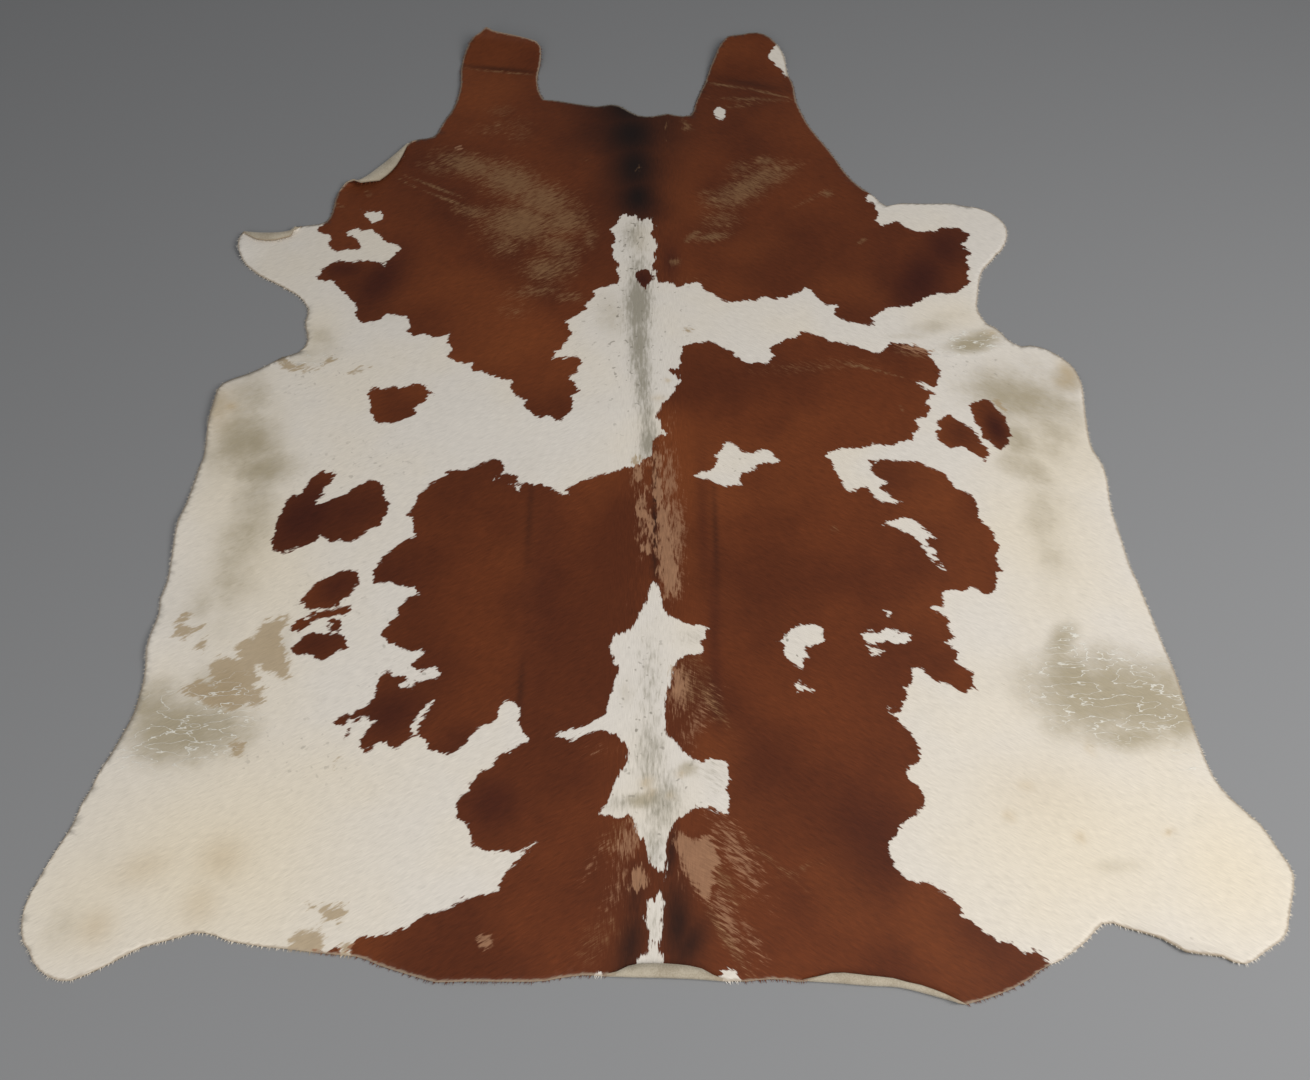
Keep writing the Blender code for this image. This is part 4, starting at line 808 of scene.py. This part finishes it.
def coat_material():
    """The short coat: ragged brown and white, tinted, scuffed, stained and worn bare, with painted shade
    along its creases and the folds of the neck tabs.
    """
    g = Graph("coat")
    place = g.object_place()
    hair = hair_noise(g, HAIR_GRAIN, 3.0, 0.6)
    patchy = g.noise(place, 13.0, detail=5.0, roughness=0.65)
    strand = hair_noise(g, STRAND_GRAIN)
    tuft = hair_noise(g, TUFT_GRAIN)
    cloud = g.noise(place, 4.0, detail=3.0)
    fleck = g.noise(place, 95.0, detail=1.0)

    ragged = g.add(g.swing(hair, HAIR_RAGGED), g.swing(tuft, TUFT_RAGGED))
    ragged = g.add(ragged, g.swing(strand, STRAND_RAGGED))
    brown_share = g.step(g.add(g.read("brown"), ragged), -BORDER_BLUR, BORDER_BLUR)
    tan_share = g.step(g.add(g.read("tan"), g.times(ragged, 2.0)), -3.0, 5.0)

    brown = g.mix(g.step(cloud, 0.35, 0.65), "brown_deep", "brown")
    brown = g.mix(g.times(g.step(g.noise(place, 2.6), 0.48, 0.72), 0.6), brown, "brown_bright")
    # Dark red-brown hair, and painted shade along a crease in the back.
    brown = g.mix(g.read("maroon_and_crease_shade"), brown, "maroon_and_crease_shade")
    # Darkest hair, and painted shade along the back creases and in the folds of the neck tabs.
    brown = g.mix(g.read("black_and_crease_shade"), brown, "black_and_crease_shade")
    worn = g.add(g.read("scuff"), g.add(g.swing(hair, 1.5), g.swing(strand, 1.5)))
    worn = g.times(g.step(worn, 0.2, 0.95), g.step(g.read("scuff"), 0.02, 0.25))
    brown = g.mix(g.times(worn, 0.8), brown, "khaki")
    roan = g.add(g.read("roan"), g.add(g.swing(hair, 2.2), g.swing(strand, 1.2)))
    roan = g.times(g.step(roan, 0.35, 0.9), g.step(g.read("roan"), 0.03, 0.25))
    brown = g.mix(g.times(roan, 0.75), brown, "pink_tan")
    brown = g.mix(g.times(tan_share, 0.9), brown, "pink_tan")

    white = g.mix(g.times(g.step(cloud, 0.4, 0.7), 0.4), "white", "cream")
    white = g.mix(g.read("cream"), white, "cream")
    stain = g.add(g.read("olive"), g.add(g.swing(patchy, 0.9), g.swing(hair, 0.5)))
    stain = g.times(g.step(stain, 0.0, 1.0), g.step(g.read("olive"), 0.02, 0.4))
    white = g.mix(g.times(stain, 0.92), white, "olive")
    white = g.mix(g.times(g.read("ochre"), 0.8), white, "ochre")
    white = g.mix(g.times(tan_share, 0.85), white, "tan")
    banded = g.step(g.add(g.read("band"), g.swing(hair, 1.3)), 0.08, 0.8)
    white = g.mix(g.times(banded, 0.9), white, "grey_band")
    white = g.mix(g.times(g.step(fleck, 0.66, 0.76), g.read("specks")), white, "speck")

    wrinkle = g.noise(g.stretched(place, WRINKLE_GRAIN), 1.0, detail=3.0, roughness=0.5)
    crease = g.step(g.math("ABSOLUTE", g.add(wrinkle, -0.5)), 0.014, 0.002)
    bare = g.step(g.read("bare"), 0.15, 0.6)
    white = g.mix(g.times(g.times(crease, bare), 0.8), white, "crease")

    colour = g.mix(brown_share, white, brown)
    at_rim = g.step(g.add(g.read("rim_gap"), g.swing(hair, 8.0)), RIM_LINE, 0.5)
    colour = g.mix(g.times(at_rim, 0.7), colour, "rim")
    dark = g.node("ShaderNodeMix", data_type="RGBA", blend_type="MULTIPLY")
    g.plug(dark.inputs[0], 1.0)
    g.plug(dark.inputs[6], colour)
    tone = g.node("ShaderNodeCombineColor")
    depth = g.add(0.34, g.times(brown_share, 0.36))
    shade = g.times(g.add(g.add(strand, g.times(hair, 0.8)), -0.9), depth)
    for socket in tone.inputs:
        g.plug(socket, g.add(shade, 0.98))
    g.plug(dark.inputs[7], tone.outputs[0])

    ripple = g.times(bare, g.add(g.times(wrinkle, 2.4), g.times(crease, 0.9)))
    height = g.add(g.add(g.times(hair, 0.4), g.times(strand, 0.4)), ripple)
    rough = g.add(0.52, g.times(strand, 0.2))
    return g.finish(dark.outputs[2], rough, g.bump(height, 0.4, 0.0014), sheen=0.03)


def flesh_material():
    """The suede-like flesh side."""
    g = Graph("flesh_side")
    place = g.object_place()
    nap = g.noise(place, 420.0, detail=3.0)
    patch = g.noise(place, 26.0, detail=3.0)
    tone = g.step(g.add(g.times(nap, 0.5), g.times(patch, 0.5)), 0.35, 0.65)
    colour = g.mix(tone, "flesh_dark", "flesh")
    return g.finish(colour, 0.85, g.bump(nap, 0.4, 0.0008), sheen=0.2)


def rim_material():
    """The cut rim, pale leather between coat and flesh side."""
    g = Graph("cut_rim")
    place = g.object_place()
    fibre = g.noise(place, 300.0, detail=3.0)
    return g.finish(g.mix(g.step(fibre, 0.3, 0.7), "flesh_dark", "rim"), 0.8,
                    g.bump(fibre, 0.4, 0.0008))


def place_camera():
    """The photo's view."""
    data = bpy.data.cameras.new("camera")
    data.lens = LENS_MM
    data.sensor_width = SENSOR_MM
    camera = bpy.data.objects.new("camera", data)
    camera.location = (*in_row(CAMERA_FROM_MARK[:2]), CAMERA_FROM_MARK[2] * MM)
    camera.rotation_euler = (math.radians(90 - CAMERA_PITCH), 0, 0)
    bpy.context.scene.collection.objects.link(camera)
    bpy.context.scene.camera = camera


def soft_light(name, row):
    """An area light that looks at a point."""
    light = dict(zip(LIGHT_COLUMNS, row))
    data = bpy.data.lights.new(name, "AREA")
    data.size = light["size"]
    data.energy = light["power"]
    lamp = bpy.data.objects.new(name, data)
    lamp.location = light["place"]
    gaze = Vector(light["aim"]) - Vector(light["place"])
    lamp.rotation_euler = gaze.to_track_quat("-Z", "Y").to_euler()
    bpy.context.scene.collection.objects.link(lamp)


def set_studio():
    """A plain floor under soft light from the right."""
    work = bmesh.new()
    bmesh.ops.create_grid(work, x_segments=1, y_segments=1, size=FLOOR_HALF_WIDTH)
    mesh = bpy.data.meshes.new("floor")
    work.to_mesh(mesh)
    work.free()
    floor = bpy.data.objects.new("floor", mesh)
    bpy.context.scene.collection.objects.link(floor)
    mesh.materials.append(floor_material())
    for name, row in LIGHTS.items():
        soft_light(name, row)
    world = bpy.data.worlds.new("studio")
    world.use_nodes = True
    sky = world.node_tree.nodes["Background"]
    sky.inputs["Color"].default_value = SKY_COLOUR
    sky.inputs["Strength"].default_value = SKY_STRENGTH
    bpy.context.scene.world = world
    bpy.context.scene.view_settings.view_transform = "Standard"


def floor_material():
    """The floor's plain matt finish."""
    g = Graph("floor")
    grain = g.noise(g.object_place(), 60.0, detail=4.0)
    g.plug(g.shader.inputs["Base Color"], COLOURS["floor"])
    g.plug(g.shader.inputs["Roughness"], 0.7)
    g.plug(g.shader.inputs["Normal"], g.bump(grain, 0.05, 0.001))
    return g.material


def add_piece(mesh, materials):
    """A painted piece of the hide."""
    for material in materials:
        mesh.materials.append(material)
    paint(mesh)
    piece = bpy.data.objects.new(mesh.name, mesh)
    bpy.context.scene.collection.objects.link(piece)
    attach(piece, "root")
    return piece


def dress_hide():
    """The visual hide, in place of the CAD sheet, and the loose hairs of its rim."""
    mesh, rim_line = fine_hide()
    coat = coat_material()
    hide = add_piece(mesh, (coat, flesh_material(), rim_material()))
    mesh.shade_smooth()
    mesh.set_sharp_from_angle(angle=math.radians(SHARP_ANGLE))
    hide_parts("hide")
    hairs = add_piece(loose_hairs(rim_line), (coat,))


place_camera()
set_studio()
dress_hide()
